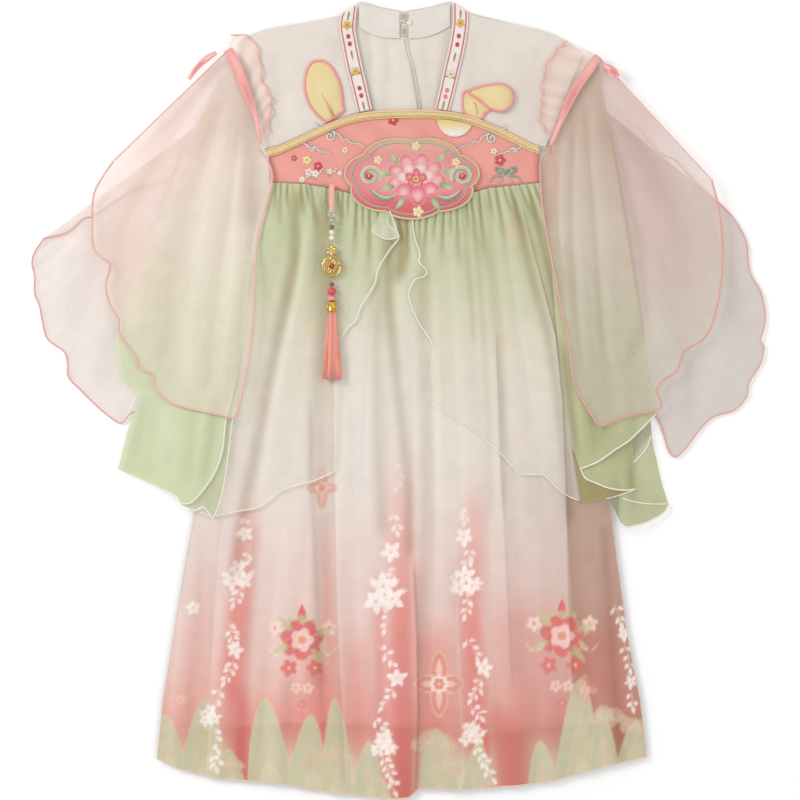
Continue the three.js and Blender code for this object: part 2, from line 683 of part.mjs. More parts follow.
// The half disc is tucked below the braid and clear of the badge.
const moon = without(
  cutTo(block(moonOutline, Z_BAND_TOP + SEAM, Z_BAND_TOP + SEAM + 1.2), block(
    even(18).map((u) => lerp(BAND_SIDES.left, BAND_SIDES.right, u)).map((x) => ({ x, y: bandTop(x) - BRAID - 3 * SEAM }))
      .concat([{ x: BAND_SIDES.right, y: 200 }, { x: BAND_SIDES.left, y: 200 }]), -5, 60)),
  block(badgeOutline.map((p) => ({ x: BADGE.x + (p.x - BADGE.x) * 1.01, y: BADGE.y + (p.y - BADGE.y) * 1.015 })), -5, 60),
);

// ------------------------------------------------------------------- yoke --
const yokeGap = SEAM + PIPING + 3 * SEAM;
function yokeWall(rows, columns, low, foot) {
  return wall(even(columns), even(4), (u, v) => {
    const bx = curve(rows, u, "bx");
    const by = foot === undefined ? bandTop(bx) + yokeGap : foot;
    const tx = curve(rows, u, "tx");
    const ty = curve(rows, u, "ty");
    return {
      x: lerp(bx, tx, v) + curve(rows, u, "bow") * 4 * v * (1 - v),
      y: lerp(by, ty, v),
      lo: low,
      hi: low + COTTON,
    };
  });
}
const keyhole = block(
  [
    { x: KEYHOLE.x - KEYHOLE.width / 2, y: KEYHOLE.bottom + 3 },
    { x: KEYHOLE.x, y: KEYHOLE.bottom },
    { x: KEYHOLE.x + KEYHOLE.width / 2, y: KEYHOLE.bottom + 3 },
    { x: KEYHOLE.x + KEYHOLE.width / 2, y: KEYHOLE.top },
    { x: KEYHOLE.x - KEYHOLE.width / 2, y: KEYHOLE.top },
  ],
  -5,
  60,
);
const yokeFrontLeft = yokeWall(YOKE_LEFT, 8, Z_INNER);
const yokeFrontRight = yokeWall(YOKE_RIGHT, 8, Z_INNER);
const yokeBackLeft = without(
  yokeWall(YOKE_BACK_LEFT.map((r, i) => (i === YOKE_BACK_LEFT.length - 1 ? { ...r, bx: r.bx - SEAM, tx: r.tx - SEAM } : r)), 10, Z_BACK, YOKE_BACK_FOOT),
  keyhole,
);
const yokeBackRight = without(yokeWall(YOKE_BACK_RIGHT, 10, Z_BACK, YOKE_BACK_FOOT), keyhole);
const collarWall = (rows) =>
  wall(even(6), even(1), (u, v) => ({
    x: curve(rows, u, "x"),
    y: lerp(curve(rows, u, "top"), curve(rows, u, "low"), v),
    lo: Z_INNER,
    hi: Z_INNER + SHEER,
  }));
const button = closed(
  new THREE.LatheGeometry(
    [new THREE.Vector2(0, -0.9), new THREE.Vector2(2.4, -0.9), new THREE.Vector2(3, 0), new THREE.Vector2(2.2, 0.9), new THREE.Vector2(0, 1.1)],
    12,
  )
    .rotateX(Math.PI / 2)
    .translate(KEYHOLE.x + 5.5, KEYHOLE.loopY, Z_INNER + SHEER + SEAM + 0.9),
);
const loopStrip = wall(even(1), even(6), (u, v) => ({
  x: lerp(KEYHOLE.x - 6, KEYHOLE.x + 1.8, v),
  y: KEYHOLE.loopY + lerp(-1, 1, u) * lerp(0.6, 0.6, v) + 1.2 * Math.sin(Math.PI * v),
  lo: Z_INNER + SHEER + SEAM,
  hi: Z_INNER + SHEER + SEAM + 1,
}));
const strapLeft = strip(STRAP_LEFT, 8, Z_YOKE_TOP + SEAM, 1.0);
const strapRight = strip(STRAP_RIGHT, 8, Z_YOKE_TOP + SEAM, 1.0);

// ------------------------------------------------------------------- ears --
const earZ = Z_YOKE_TOP + SEAM;
const earLeft = strip(EAR_LEFT, 8, earZ, EAR_PAD - 1, { crown: 1.4, across: 4 });
const earRight = joined([
  block(EAR_RIGHT_STEM, earZ, earZ + 1.6),
  block(EAR_RIGHT_FLAP, earZ + 1.6 + SEAM, earZ + 1.6 + SEAM + EAR_PAD),
  // the turn of the fold
  block(
    [
      { x: 70.2, y: 307.4 },
      { x: 71.2, y: 308.4 },
      { x: 81.6, y: 301.6 },
      { x: 92.4, y: 292.6 },
      { x: 91.4, y: 291.6 },
      { x: 80.8, y: 300.4 },
    ],
    earZ,
    earZ + 1.6 + SEAM + EAR_PAD,
  ),
]);

// ---------------------------------------------------------------- sleeves --
// How far a sleeve layer climbs beside and over the skirt, at x, y.
function climb(x, y) {
  const left = smooth((x - (skirtLeft(y) - RISE_RUN)) / RISE_RUN);
  const right = smooth((skirtRight(y) + RISE_RUN - x) / RISE_RUN);
  return SLEEVE_RISE * (x < 0 ? left : right) * smooth((175 - y) / 70);
}
function gores(rows, columns, lines, low, folds = [], settle = 0) {
  return wall(even(columns), even(lines), (u, v) => {
    const x = lerp(curve(rows, u, "ax"), curve(rows, u, "hx"), v);
    const y = lerp(curve(rows, u, "ay"), curve(rows, u, "hy"), v);
    let h = 0;
    for (const f of folds) h = Math.max(h, f.height * Math.max(0, 1 - Math.abs(u - f.at) / f.width));
    const z = low + climb(x, y) + h * smooth((v - 0.15) / 0.6) - settle * smooth((v - 0.72) / 0.28);
    return { x, y, lo: z, hi: z + SHEER };
  });
}
const layer = (n) => n * SLEEVE_PITCH;
const sleeves = (side, t) => [
  ["flounce_back_" + side, gores(t.back, 16, 3, layer(0)), "organza_pink"],
  ["sleeve_back_" + side, gores(t.sleeve, 8, 6, layer(1)), "chiffon_green"],
  ["sleeve_front_" + side, gores(t.sleeve, 8, 6, layer(2)), "chiffon_green"],
  ["flounce_front_" + side, gores(t.front, 20, 5, layer(3), FLOUNCE_FOLDS), "organza_pink"],
  ["ribbon_" + side, strip(t.ribbon, 10, layer(4), 1.0), "satin_ribbon"],
  [
    "ruffle_" + side,
    wall(even(14), even(2), (u, v) => {
      const z = Z_YOKE_TOP + AIR + 1.6 * Math.abs(Math.sin(u * 7 * Math.PI)) * (1 - v);
      return {
        x: lerp(curve(t.ruffle, u, "ix"), curve(t.ruffle, u, "rx"), v),
        y: lerp(curve(t.ruffle, u, "iy"), curve(t.ruffle, u, "ry"), v),
        lo: z,
        hi: z + SHEER,
      };
    }),
    "organza_pink",
  ],
  ["bow_" + side, strip(t.bow, 6, layer(4) + 1.3, 1.4), "satin_ribbon"],
];

// ---------------------------------------------------------------- pendant --
const v3 = (dx, y, dz = 0) => new THREE.Vector3(PENDANT_X + dx, y, PENDANT_Z + dz);
const BAR_Y = 188; // bar of the clasp, which the ribbon loop holds
const LOOP_TOP = { y: 215.5, z: 7.2 };
const LOOP_W = 4.6;
// The ribbon loop, seen along X: round the bar, and up to the waist seam.
function loopProfile(half, wrap) {
  const pts = [];
  const up = Math.atan2(LOOP_TOP.z - PENDANT_Z, LOOP_TOP.y - BAR_Y);
  for (let i = 0; i <= 8; i++) {
    const a = up + Math.PI / 2 + (Math.PI * i) / 8;
    pts.push({ x: BAR_Y + wrap * Math.cos(a), y: PENDANT_Z + wrap * Math.sin(a) });
  }
  const n = { x: -Math.sin(up), y: Math.cos(up) };
  const stop = wrap > 1.5 ? 0 : 1.2;
  const end = { x: LOOP_TOP.y - stop * Math.cos(up), y: LOOP_TOP.z - stop * Math.sin(up) };
  const neck = { x: BAR_Y + 6 * Math.cos(up), y: PENDANT_Z + 6 * Math.sin(up) };
  pts.push({ x: neck.x - n.x * half, y: neck.y - n.y * half });
  pts.push({ x: end.x - n.x * half, y: end.y - n.y * half });
  pts.push({ x: end.x + n.x * half, y: end.y + n.y * half });
  pts.push({ x: neck.x + n.x * half, y: neck.y + n.y * half });
  return pts.map((p) => new THREE.Vector2(p.x, p.y));
}
function ribbonLoop() {
  const shape = new THREE.Shape(loopProfile(0.95, 1.9));
  shape.holes.push(new THREE.Path(loopProfile(0.15, 1.1)));
  const g = new THREE.ExtrudeGeometry(shape, { depth: LOOP_W, bevelEnabled: false });
  // profile plane (x, y) becomes (Y, Z), and the depth runs along X
  g.applyMatrix4(new THREE.Matrix4().set(0, 0, 1, PENDANT_X - LOOP_W / 2, 1, 0, 0, 0, 0, 1, 0, 0, 0, 0, 0, 1));
  return closed(g);
}
const CLASP_BODY = { y: 179, r: 2.3, half: 2.3 };
const clasp = joined([
  rod(v3(-4, BAR_Y), v3(4, BAR_Y), 0.7, 6),
  rod(v3(-4, BAR_Y + 0.5), v3(-1.7, CLASP_BODY.y + 1.2), 0.75, 6),
  rod(v3(4, BAR_Y + 0.5), v3(1.7, CLASP_BODY.y + 1.2), 0.75, 6),
  bead(CLASP_BODY.y, CLASP_BODY.r, CLASP_BODY.half),
]);
const disc = (dx, y, rx, ry, low, high, n = 14) =>
  block(
    even(n)
      .slice(0, -1)
      .map((t) => ({ x: PENDANT_X + dx + rx * Math.cos(t * 2 * Math.PI), y: y + ry * Math.sin(t * 2 * Math.PI) })),
    PENDANT_Z + low,
    PENDANT_Z + high,
  );
// Openwork charm: a small six-petal blossom over a round rosette, with round piercings.
const CHARM = { head: 149.5, body: 133.5, top: 155.8, foot: 123 };
let charm = joined([
  disc(0, CHARM.head - 0.6, 4.2, 4.2, -2, 2),
  ...[0, 1, 2, 3, 4, 5].map((k) =>
    disc(3.6 * Math.sin((k * Math.PI) / 3), CHARM.head - 0.6 + 3.6 * Math.cos((k * Math.PI) / 3), 2.4, 2.4, -1.4, 1.4, 10),
  ),
  disc(0, CHARM.body, 9.8, 10.6, -2.4, 2.4, 20),
]);
for (let k = 0; k < 6; k++)
  charm = without(
    charm,
    disc(5.1 * Math.sin((k * Math.PI) / 3), CHARM.body + 5.4 * Math.cos((k * Math.PI) / 3), 1.7, 1.7, -4, 4, 8),
  );
const CAP = { top: 98.8, bottom: 88.6, r: 4.5 };
const DOME = { y: 101.6, r: 4.4, half: 2.3 };
// Closed loft of flattened rings about the thread's line.
function ringLoft(rows, n) {
  const position = [];
  const index = [];
  for (const r of rows)
    for (let i = 0; i < n; i++) {
      const a = (2 * Math.PI * i) / n;
      position.push(PENDANT_X + (r.w / 2) * Math.cos(a), r.y, PENDANT_Z + (r.t / 2) * Math.sin(a));
    }
  for (let j = 0; j < rows.length - 1; j++)
    for (let i = 0; i < n; i++) {
      const [a, b] = [j * n + i, j * n + ((i + 1) % n)];
      index.push(a, b, a + n, b, b + n, a + n);
    }
  const last = (rows.length - 1) * n;
  for (let i = 1; i < n - 1; i++) index.push(0, i + 1, i, last, last + i, last + i + 1);
  const g = new THREE.BufferGeometry();
  g.setAttribute("position", new THREE.Float32BufferAttribute(position, 3));
  g.setIndex(index);
  return closed(g);
}

// --------------------------------------------------------------- assembly --
const LOOKS = {
  cotton: { color: "#dfd6cc", roughness: 0.85 },
  embroidered_ribbon: { color: "#efe6da", roughness: 0.7 },
  band_pink: { color: "#e4a296", roughness: 0.8 },
  braid_gold: { color: "#e3c58a", roughness: 0.6 },
  piping_pink: { color: "#e49a92", roughness: 0.7 },
  ear_yellow: { color: "#ead6a2", roughness: 0.8 },
  embroidery: { color: "#ec9c9e", roughness: 0.7 },
  chiffon_green: { color: "#d2d8b6", roughness: 0.6 },
  chiffon_skirt: { color: "#e0cfc2", roughness: 0.6 },
  organza_pink: { color: "#ecdccf", roughness: 0.5 },
  satin_ribbon: { color: "#de8a84", roughness: 0.35 },
  pearl: { color: "#f2e8da", roughness: 0.25 },
  bead_brown: { color: "#8d5f3c", roughness: 0.35 },
  bead_coral: { color: "#d24c48", roughness: 0.3 },
  gold: { color: "#d3ab55", roughness: 0.3, metalness: 1 },
  silver: { color: "#b9bab5", roughness: 0.3, metalness: 1 },
  tassel: { color: "#ee9880", roughness: 0.7 },
};
const looks = Object.fromEntries(
  Object.entries(LOOKS).map(([name, look]) => [name, new THREE.MeshStandardMaterial({ name, ...look })]),
);
const dress = new THREE.Group();
function add(name, geometry, look) {
  const mesh = new THREE.Mesh(geometry, looks[look]);
  mesh.name = name;
  dress.add(mesh);
}

add("skirt_back", skirtBack, "chiffon_skirt");
add("skirt_lining", skirtLining, "chiffon_skirt");
add("skirt_front", skirtFront, "chiffon_skirt");
add("overskirt_left", overLeft, "chiffon_green");
add("overskirt_right", overRight, "chiffon_green");
add("band_back", bandBack, "band_pink");
add("band_front", bandFront, "band_pink");
add("band_piping", piping, "piping_pink");
add("band_braid", braid, "braid_gold");
add("band_badge", badge, "embroidery");
add("moon_patch", moon, "embroidery");
add("yoke_back_left", yokeBackLeft, "cotton");
add("yoke_back_right", yokeBackRight, "cotton");
add("yoke_front_left", yokeFrontLeft, "cotton");
add("yoke_front_right", yokeFrontRight, "cotton");
add("neck_facing_left", collarWall(COLLAR), "cotton");
add("neck_facing_right", collarWall(COLLAR_RIGHT), "cotton");
add("back_button", button, "pearl");
add("button_loop", loopStrip, "cotton");
add("strap_left", strapLeft, "embroidered_ribbon");
add("strap_right", strapRight, "embroidered_ribbon");
add("ear_left", earLeft, "ear_yellow");
add("ear_right", earRight, "ear_yellow");
for (const [name, geometry, look] of [
  ...sleeves("left", {
    back: FLOUNCE_BACK_LEFT,
    sleeve: SLEEVE_LEFT,
    front: FLOUNCE_FRONT_LEFT,
    ribbon: RIBBON_LEFT,
    ruffle: RUFFLE_LEFT,
    bow: BOW_LEFT,
  }),
  ...sleeves("right", {
    back: FLOUNCE_BACK_RIGHT,
    sleeve: SLEEVE_RIGHT,
    front: FLOUNCE_FRONT_RIGHT,
    ribbon: RIBBON_RIGHT,
    ruffle: RUFFLE_RIGHT,
    bow: BOW_RIGHT,
  }),
])
  add(name, geometry, look);
add("pendant_loop", ribbonLoop(), "satin_ribbon");
add("clasp", clasp, "silver");
for (const b of BEADS) add(b.name, bead(b.y, b.r, b.half), b.name.includes("pearl") ? "pearl" : b.name.includes("brown") ? "bead_brown" : "bead_coral");
add("thread_upper", closed(rod(v3(0, CLASP_BODY.y + 1), v3(0, CHARM.top + 0.3), THREAD)), "tassel");
add("charm", charm, "gold");
add("thread_lower", closed(rod(v3(0, CHARM.body - 10.6 - SEAM), v3(0, CAP.top - 2), THREAD)), "tassel");
add("knot_dome", bead(DOME.y, DOME.r, DOME.half), "piping_pink");
add("tassel_cap", bead((CAP.top + CAP.bottom) / 2, CAP.r, (CAP.top - CAP.bottom) / 2), "gold");
add("tassel", ringLoft(TASSEL, 14), "tassel");

export default dress;
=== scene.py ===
# A girl's hanfu dress laid flat. Lengths in millimetres, +Y to the neck, +Z up; meshes are written in metres.
import bpy, math, random
import numpy as np
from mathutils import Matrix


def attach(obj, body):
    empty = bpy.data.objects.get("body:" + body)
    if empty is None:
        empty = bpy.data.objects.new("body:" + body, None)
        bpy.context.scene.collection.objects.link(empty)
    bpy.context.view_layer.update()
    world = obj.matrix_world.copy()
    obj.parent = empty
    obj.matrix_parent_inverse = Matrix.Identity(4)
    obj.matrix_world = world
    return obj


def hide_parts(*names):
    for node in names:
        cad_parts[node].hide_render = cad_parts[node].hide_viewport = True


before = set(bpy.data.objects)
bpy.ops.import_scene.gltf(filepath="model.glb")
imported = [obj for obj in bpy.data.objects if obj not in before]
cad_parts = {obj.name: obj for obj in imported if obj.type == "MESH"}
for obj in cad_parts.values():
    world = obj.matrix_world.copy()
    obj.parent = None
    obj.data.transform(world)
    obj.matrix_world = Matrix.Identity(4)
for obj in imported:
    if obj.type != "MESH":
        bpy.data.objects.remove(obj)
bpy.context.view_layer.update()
rng = np.random.RandomState(7)
random.seed(7)
MM = 0.001
G, PD = "garment", "pendant"

# ------------------------------------------------------------------ tables
SKIRT_SIDES = [
    dict(y=217, left=-125, right=143),
    dict(y=70, left=-160, right=174),
    dict(y=-50, left=-188, right=202),
    dict(y=-120, left=-204, right=214),
    dict(y=-160, left=-212, right=219),
    dict(y=-240, left=-225, right=230),
    dict(y=-300, left=-235, right=242),
    dict(y=-359, left=-241, right=249),
]
WAIST = [
    dict(u=0.0, y=217.5),
    dict(u=0.12, y=216),
    dict(u=0.2, y=212.5),
    dict(u=0.3, y=206),
    dict(u=0.4, y=200),
    dict(u=0.55, y=198),
    dict(u=0.7, y=204),
    dict(u=0.8, y=212),
    dict(u=1.0, y=217.5),
]
HEM = [
    dict(u=0.0, y=-359),
    dict(u=0.045, y=-369),
    dict(u=0.13, y=-379),
    dict(u=0.24, y=-383),
    dict(u=0.32, y=-390),
    dict(u=0.395, y=-395),
    dict(u=0.475, y=-399),
    dict(u=0.515, y=-398),
    dict(u=0.535, y=-389),
    dict(u=0.63, y=-390),
    dict(u=0.73, y=-386),
    dict(u=0.8, y=-382),
    dict(u=0.88, y=-371),
    dict(u=1.0, y=-357),
]
SKIRT_FOLDS = [
    dict(at=0.05, waist=1.0, mid=1.0, hem=2.5),
    dict(at=0.115, waist=2.2, mid=1.2, hem=4.0),
    dict(at=0.18, waist=1.8, mid=1.5, hem=3.0),
    dict(at=0.24, waist=1.4, mid=1.4, hem=5.0),
    dict(at=0.3, waist=1.4, mid=1.6, hem=4.0),
    dict(at=0.36, waist=1.4, mid=3.2, hem=6.0),
    dict(at=0.425, waist=1.0, mid=4.2, hem=3.0),
    dict(at=0.495, waist=1.0, mid=3.0, hem=6.5),
    dict(at=0.55, waist=1.0, mid=2.2, hem=2.0),
    dict(at=0.61, waist=1.2, mid=3.6, hem=5.0),
    dict(at=0.675, waist=1.6, mid=2.6, hem=3.0),
    dict(at=0.74, waist=2.6, mid=4.0, hem=5.0),
    dict(at=0.81, waist=2.2, mid=2.4, hem=3.5),
    dict(at=0.875, waist=2.4, mid=1.2, hem=4.5),
    dict(at=0.945, waist=1.0, mid=1.0, hem=2.5),
]
BAND_TOP = [
    dict(x=-130.4, y=247),
    dict(x=-103, y=259),
    dict(x=-76, y=272),
    dict(x=-45, y=284.5),
    dict(x=-18, y=287.5),
    dict(x=16, y=288),
    dict(x=47, y=287.3),
    dict(x=68, y=284),
    dict(x=106, y=269),
    dict(x=141, y=249.5),
]
YOKE_LEFT = [
    dict(bx=-134, tx=-160, ty=359, bow=0),
    dict(bx=-113, tx=-136, ty=370, bow=0),
    dict(bx=-83, tx=-106, ty=376, bow=0),
    dict(bx=-58, tx=-76, ty=381, bow=-1),
    dict(bx=-42, tx=-57, ty=385, bow=-3),
    dict(bx=-27, tx=-42, ty=395, bow=-4),
]
YOKE_RIGHT = [
    dict(bx=37, tx=56, ty=396, bow=4),
    dict(bx=52, tx=69, ty=388, bow=3),
    dict(bx=68, tx=88, ty=382, bow=1),
    dict(bx=94, tx=124, ty=375, bow=0),
    dict(bx=122, tx=158, ty=365, bow=0),
    dict(bx=148, tx=185, ty=347, bow=0),
]
YOKE_BACK_LEFT = [
    dict(bx=-134, tx=-160, ty=359, bow=0),
    dict(bx=-113, tx=-136, ty=370, bow=0),
    dict(bx=-83, tx=-98, ty=377, bow=0),
    dict(bx=-53, tx=-56, ty=386, bow=0),
    dict(bx=-26, tx=-38, ty=399, bow=0),
    dict(bx=-2, tx=-17, ty=394, bow=0),
    dict(bx=20, tx=5.5, ty=389.5, bow=-3),
]
YOKE_BACK_RIGHT = [
    dict(bx=20, tx=5.5, ty=389.5, bow=-3),
    dict(bx=34, tx=32, ty=394, bow=0),
    dict(bx=48, tx=53, ty=399, bow=0),
    dict(bx=68, tx=70, ty=389, bow=0),
    dict(bx=94, tx=112, ty=378, bow=0),
    dict(bx=122, tx=158, ty=365, bow=0),
    dict(bx=148, tx=185, ty=347, bow=0),
]
COLLAR = [
    dict(x=-39, top=397, low=373),
    dict(x=-28, top=394.5, low=367),
    dict(x=-13, top=391.5, low=363),
    dict(x=1.6, top=388.5, low=362),
]
COLLAR_RIGHT = [
    dict(x=10.4, top=388.5, low=362),
    dict(x=24, top=391.5, low=363),
    dict(x=40, top=394.5, low=368),
    dict(x=52, top=396.5, low=374),
]
STRAP_LEFT = [
    dict(x=-48.5, y=390, w=15.5),
    dict(x=-51, y=374, w=15.5),
    dict(x=-48, y=355, w=15.5),
    dict(x=-44, y=335, w=15.5),
    dict(x=-38.5, y=312, w=15),
    dict(x=-33.3, y=289.5, w=14.5),
]
STRAP_RIGHT = [
    dict(x=62.5, y=392, w=15.5),
    dict(x=62.3, y=376, w=15.5),
    dict(x=59, y=354, w=15.5),
    dict(x=54, y=332, w=15.5),
    dict(x=49, y=310, w=15),
    dict(x=44.3, y=291, w=14.5),
]
EAR_LEFT = [
    dict(x=-80, y=339, w=9),
    dict(x=-79.5, y=334, w=21),
    dict(x=-78, y=325, w=30),
    dict(x=-76, y=315, w=34.5),
    dict(x=-73, y=303, w=34),
    dict(x=-68, y=292, w=28),
    dict(x=-63, y=284, w=19),
]
EAR_RIGHT_STEM = [
    dict(x=65.5, y=306),
    dict(x=71, y=308),
    dict(x=81, y=301),
    dict(x=92, y=292),
    dict(x=87, y=287),
    dict(x=82, y=281.7),
    dict(x=66.5, y=288),
]
EAR_RIGHT_FLAP = [
    dict(x=71, y=308),
    dict(x=83, y=313),
    dict(x=97, y=315.4),
    dict(x=106.5, y=315.3),
    dict(x=113, y=310),
    dict(x=114.7, y=302),
    dict(x=112, y=294),
    dict(x=104, y=289),
    dict(x=92, y=292),
    dict(x=81, y=301),
]
OVER_LEFT = [
    dict(x=-136, y=195),
    dict(x=-98, y=210),
    dict(x=-48, y=200),
    dict(x=-3, y=192),
    dict(x=7, y=164),
    dict(x=15, y=150),
    dict(x=0, y=136),
    dict(x=-13, y=100),
    dict(x=-30, y=75),
    dict(x=-51, y=53),
    dict(x=-60, y=0),
    dict(x=-63, y=-71),
    dict(x=-84, y=-80),
    dict(x=-116, y=-90),
    dict(x=-134, y=-104),
    dict(x=-156, y=-111),
    dict(x=-184, y=-114),
    dict(x=-193, y=-106),
    dict(x=-180, y=-40),
    dict(x=-158, y=70),
]
OVER_RIGHT = [
    dict(x=36, y=192),
    dict(x=72, y=200),
    dict(x=112, y=210),
    dict(x=147, y=195),
    dict(x=170, y=70),
    dict(x=192, y=-30),
    dict(x=186, y=-70),
    dict(x=180, y=-103),
    dict(x=168, y=-114),
    dict(x=160, y=-90),
    dict(x=141, y=-76),
    dict(x=123, y=-74),
    dict(x=107, y=-58),
    dict(x=72, y=-40),
    dict(x=46, y=-15),
    dict(x=35, y=5),
    dict(x=34, y=55),
    dict(x=26, y=72),
    dict(x=19, y=110),
    dict(x=25, y=138),
    dict(x=33, y=170),
]
FLOUNCE_FRONT_LEFT = [
    dict(ax=-174, ay=350, hx=-284, hy=239),
    dict(ax=-170, ay=340, hx=-303, hy=208),
    dict(ax=-166, ay=330, hx=-305, hy=170),
    dict(ax=-162, ay=320, hx=-292, hy=128),
    dict(ax=-158, ay=310, hx=-288, hy=95),
    dict(ax=-154, ay=300, hx=-277, hy=64),
    dict(ax=-150, ay=290, hx=-258, hy=31),
    dict(ax=-147, ay=280, hx=-241, hy=9),
    dict(ax=-144, ay=270, hx=-216, hy=-7),
    dict(ax=-141, ay=260, hx=-188, hy=-13),
    dict(ax=-138, ay=250, hx=-161, hy=-18),
]
FLOUNCE_BACK_LEFT = [
    dict(ax=-160, ay=305, hx=-355, hy=163),
    dict(ax=-158, ay=299, hx=-367, hy=138),
    dict(ax=-156, ay=293, hx=-364, hy=106),
    dict(ax=-154, ay=287, hx=-355, hy=70),
    dict(ax=-152, ay=281, hx=-336, hy=48),
    dict(ax=-149, ay=275, hx=-328, hy=21),
    dict(ax=-147, ay=269, hx=-305, hy=-3),
    dict(ax=-144, ay=263, hx=-276, hy=-22),
    dict(ax=-142, ay=257, hx=-238, hy=-12),
    dict(ax=-140, ay=252, hx=-198, hy=12),
]
SLEEVE_LEFT = [
    dict(ax=-168, ay=345, hx=-280, hy=-67),
    dict(ax=-160, ay=322, hx=-264, hy=-77),
    dict(ax=-153, ay=300, hx=-242, hy=-86),
    dict(ax=-148, ay=282, hx=-220, hy=-98),
    dict(ax=-144, ay=268, hx=-203, hy=-111),
    dict(ax=-140, ay=254, hx=-185, hy=-119),
]
RIBBON_LEFT = [
    dict(x=-169.5, y=350, w=9),
    dict(x=-160, y=332, w=10),
    dict(x=-153.5, y=313, w=9),
    dict(x=-147.5, y=298, w=7),
    dict(x=-142, y=283, w=5),
    dict(x=-137, y=255, w=3),
]
RUFFLE_LEFT = [
    dict(ix=-167, iy=365, rx=-169, ry=356),
    dict(ix=-152, iy=364.5, rx=-163.5, ry=351),
    dict(ix=-143, iy=355, rx=-158.5, ry=343),
    dict(ix=-138, iy=340, rx=-153.5, ry=332),
    dict(ix=-136, iy=320, rx=-148, ry=314),
    dict(ix=-128, iy=303, rx=-143, ry=299),
    dict(ix=-128, iy=288, rx=-138.5, ry=284),
    dict(ix=-130.5, iy=268, rx=-136, ry=267),
]
BOW_LEFT = [
    dict(x=-181, y=346.5, w=4),
    dict(x=-190, y=341, w=6),
    dict(x=-200, y=332, w=6),
    dict(x=-209, y=320, w=4),
]
FLOUNCE_FRONT_RIGHT = [
    dict(ax=200, ay=336, hx=313, hy=220),
    dict(ax=196, ay=328, hx=322, hy=180),
    dict(ax=192, ay=320, hx=324, hy=138),
    dict(ax=188, ay=312, hx=318, hy=92),
    dict(ax=184, ay=304, hx=305, hy=61),
    dict(ax=180, ay=296, hx=283, hy=42),
    dict(ax=175, ay=288, hx=262, hy=16),
    dict(ax=170, ay=280, hx=257, hy=-9),
    dict(ax=165, ay=270, hx=228, hy=-18),
    dict(ax=159, ay=260, hx=199, hy=-27),
    dict(ax=152, ay=250, hx=179, hy=7),
]
FLOUNCE_BACK_RIGHT = [
    dict(ax=190, ay=305, hx=319, hy=199),
    dict(ax=187, ay=299, hx=344, hy=170),
    dict(ax=184, ay=293, hx=354, hy=132),
    dict(ax=180, ay=287, hx=368, hy=86),
    dict(ax=176, ay=281, hx=365, hy=50),
    dict(ax=172, ay=275, hx=352, hy=16),
    dict(ax=168, ay=269, hx=338, hy=-11),
    dict(ax=163, ay=263, hx=307, hy=-25),
    dict(ax=158, ay=257, hx=278, hy=-58),
    dict(ax=154, ay=251, hx=242, hy=-25),
]
SLEEVE_RIGHT = [
    dict(ax=198, ay=334, hx=271, hy=-105),
    dict(ax=190, ay=316, hx=252, hy=-120),
    dict(ax=181, ay=300, hx=228, hy=-125),
    dict(ax=172, ay=284, hx=214, hy=-103),
    dict(ax=163, ay=268, hx=198, hy=-85),
    dict(ax=153, ay=253, hx=182, hy=-69),
]
RIBBON_RIGHT = [
    dict(x=200, y=343, w=8),
    dict(x=192, y=332, w=10),
    dict(x=179, y=313, w=9),
    dict(x=169, y=294, w=8),
    dict(x=161.5, y=276, w=5),
    dict(x=153, y=255, w=3),
]
RUFFLE_RIGHT = [
    dict(ix=169, iy=359, rx=186, ry=345),
    dict(ix=158, iy=349, rx=183, ry=338),
    dict(ix=148, iy=333, rx=177, ry=329),
    dict(ix=144, iy=315, rx=168, ry=312),
    dict(ix=144, iy=298, rx=161.5, ry=294),
    dict(ix=142, iy=282, rx=156, ry=278),
    dict(ix=147, iy=269, rx=152, ry=267),
]
BOW_RIGHT = [
    dict(x=204, y=334.5, w=3.5),
    dict(x=210, y=331, w=7),
    dict(x=215, y=327, w=9),
    dict(x=219, y=322, w=5),
]
FLOUNCE_FOLDS = [
    dict(at=0.07, width=0.05, height=2.5),
    dict(at=0.22, width=0.04, height=1.6),
    dict(at=0.38, width=0.05, height=2.6),
    dict(at=0.55, width=0.05, height=3.0),
    dict(at=0.72, width=0.04, height=2.2),
    dict(at=0.9, width=0.05, height=3.2),
]

Z_INNER, Z_SKIRT, SHEER = 1.8, 3.1, 1.0
Z_BAND_TOP, Z_YOKE_TOP = 4.8, 3.3
PITCH, RISE, RUN = 2.5, 8.2, 60.0

# ----------------------------------------------------------------- helpers
def lin(c):
    c = np.asarray(c, float) / 255.0
    return np.where(c <= 0.04045, c / 12.92, ((c + 0.055) / 1.055) ** 2.4)

def sm(t):
    t = np.clip(t, 0, 1)
    return t * t * (3 - 2 * t)

def mix(a, b, t):
    t = np.asarray(t, float)[..., None]
    return np.asarray(a, float) * (1 - t) + np.asarray(b, float) * t

def read(rows, key, val, out):
    k = np.array([r[key] for r in rows], float)
    o = np.array([r[out] for r in rows], float)
    if k[0] > k[-1]:
        k, o = k[::-1], o[::-1]
    return np.interp(val, k, o)

def curve(rows, t, out):
    a = np.array([r[out] for r in rows], float)
    s = np.clip(np.asarray(t, float), 0, 1) * (len(a) - 1)
    i = np.minimum(s.astype(int), len(a) - 2)
    f = s - i
    b, c = a[i], a[i + 1]
    p = np.where(i > 0, a[np.maximum(i - 1, 0)], 2 * b - c)
    d = np.where(i < len(a) - 2, a[np.minimum(i + 2, len(a) - 1)], 2 * c - b)
    return b + 0.5 * f * (c - p + f * (2 * p - 5 * b + 4 * c - d + f * (3 * (b - c) + d - p)))

def wob(x, seed, n=5, lo=0.02, hi=0.12):
    r = np.random.RandomState(seed)
    v = 0
    for _ in range(n):
        v = v + r.uniform(0.4, 1) * np.sin(x * r.uniform(lo, hi) + r.uniform(0, 6.28))
    return v / n

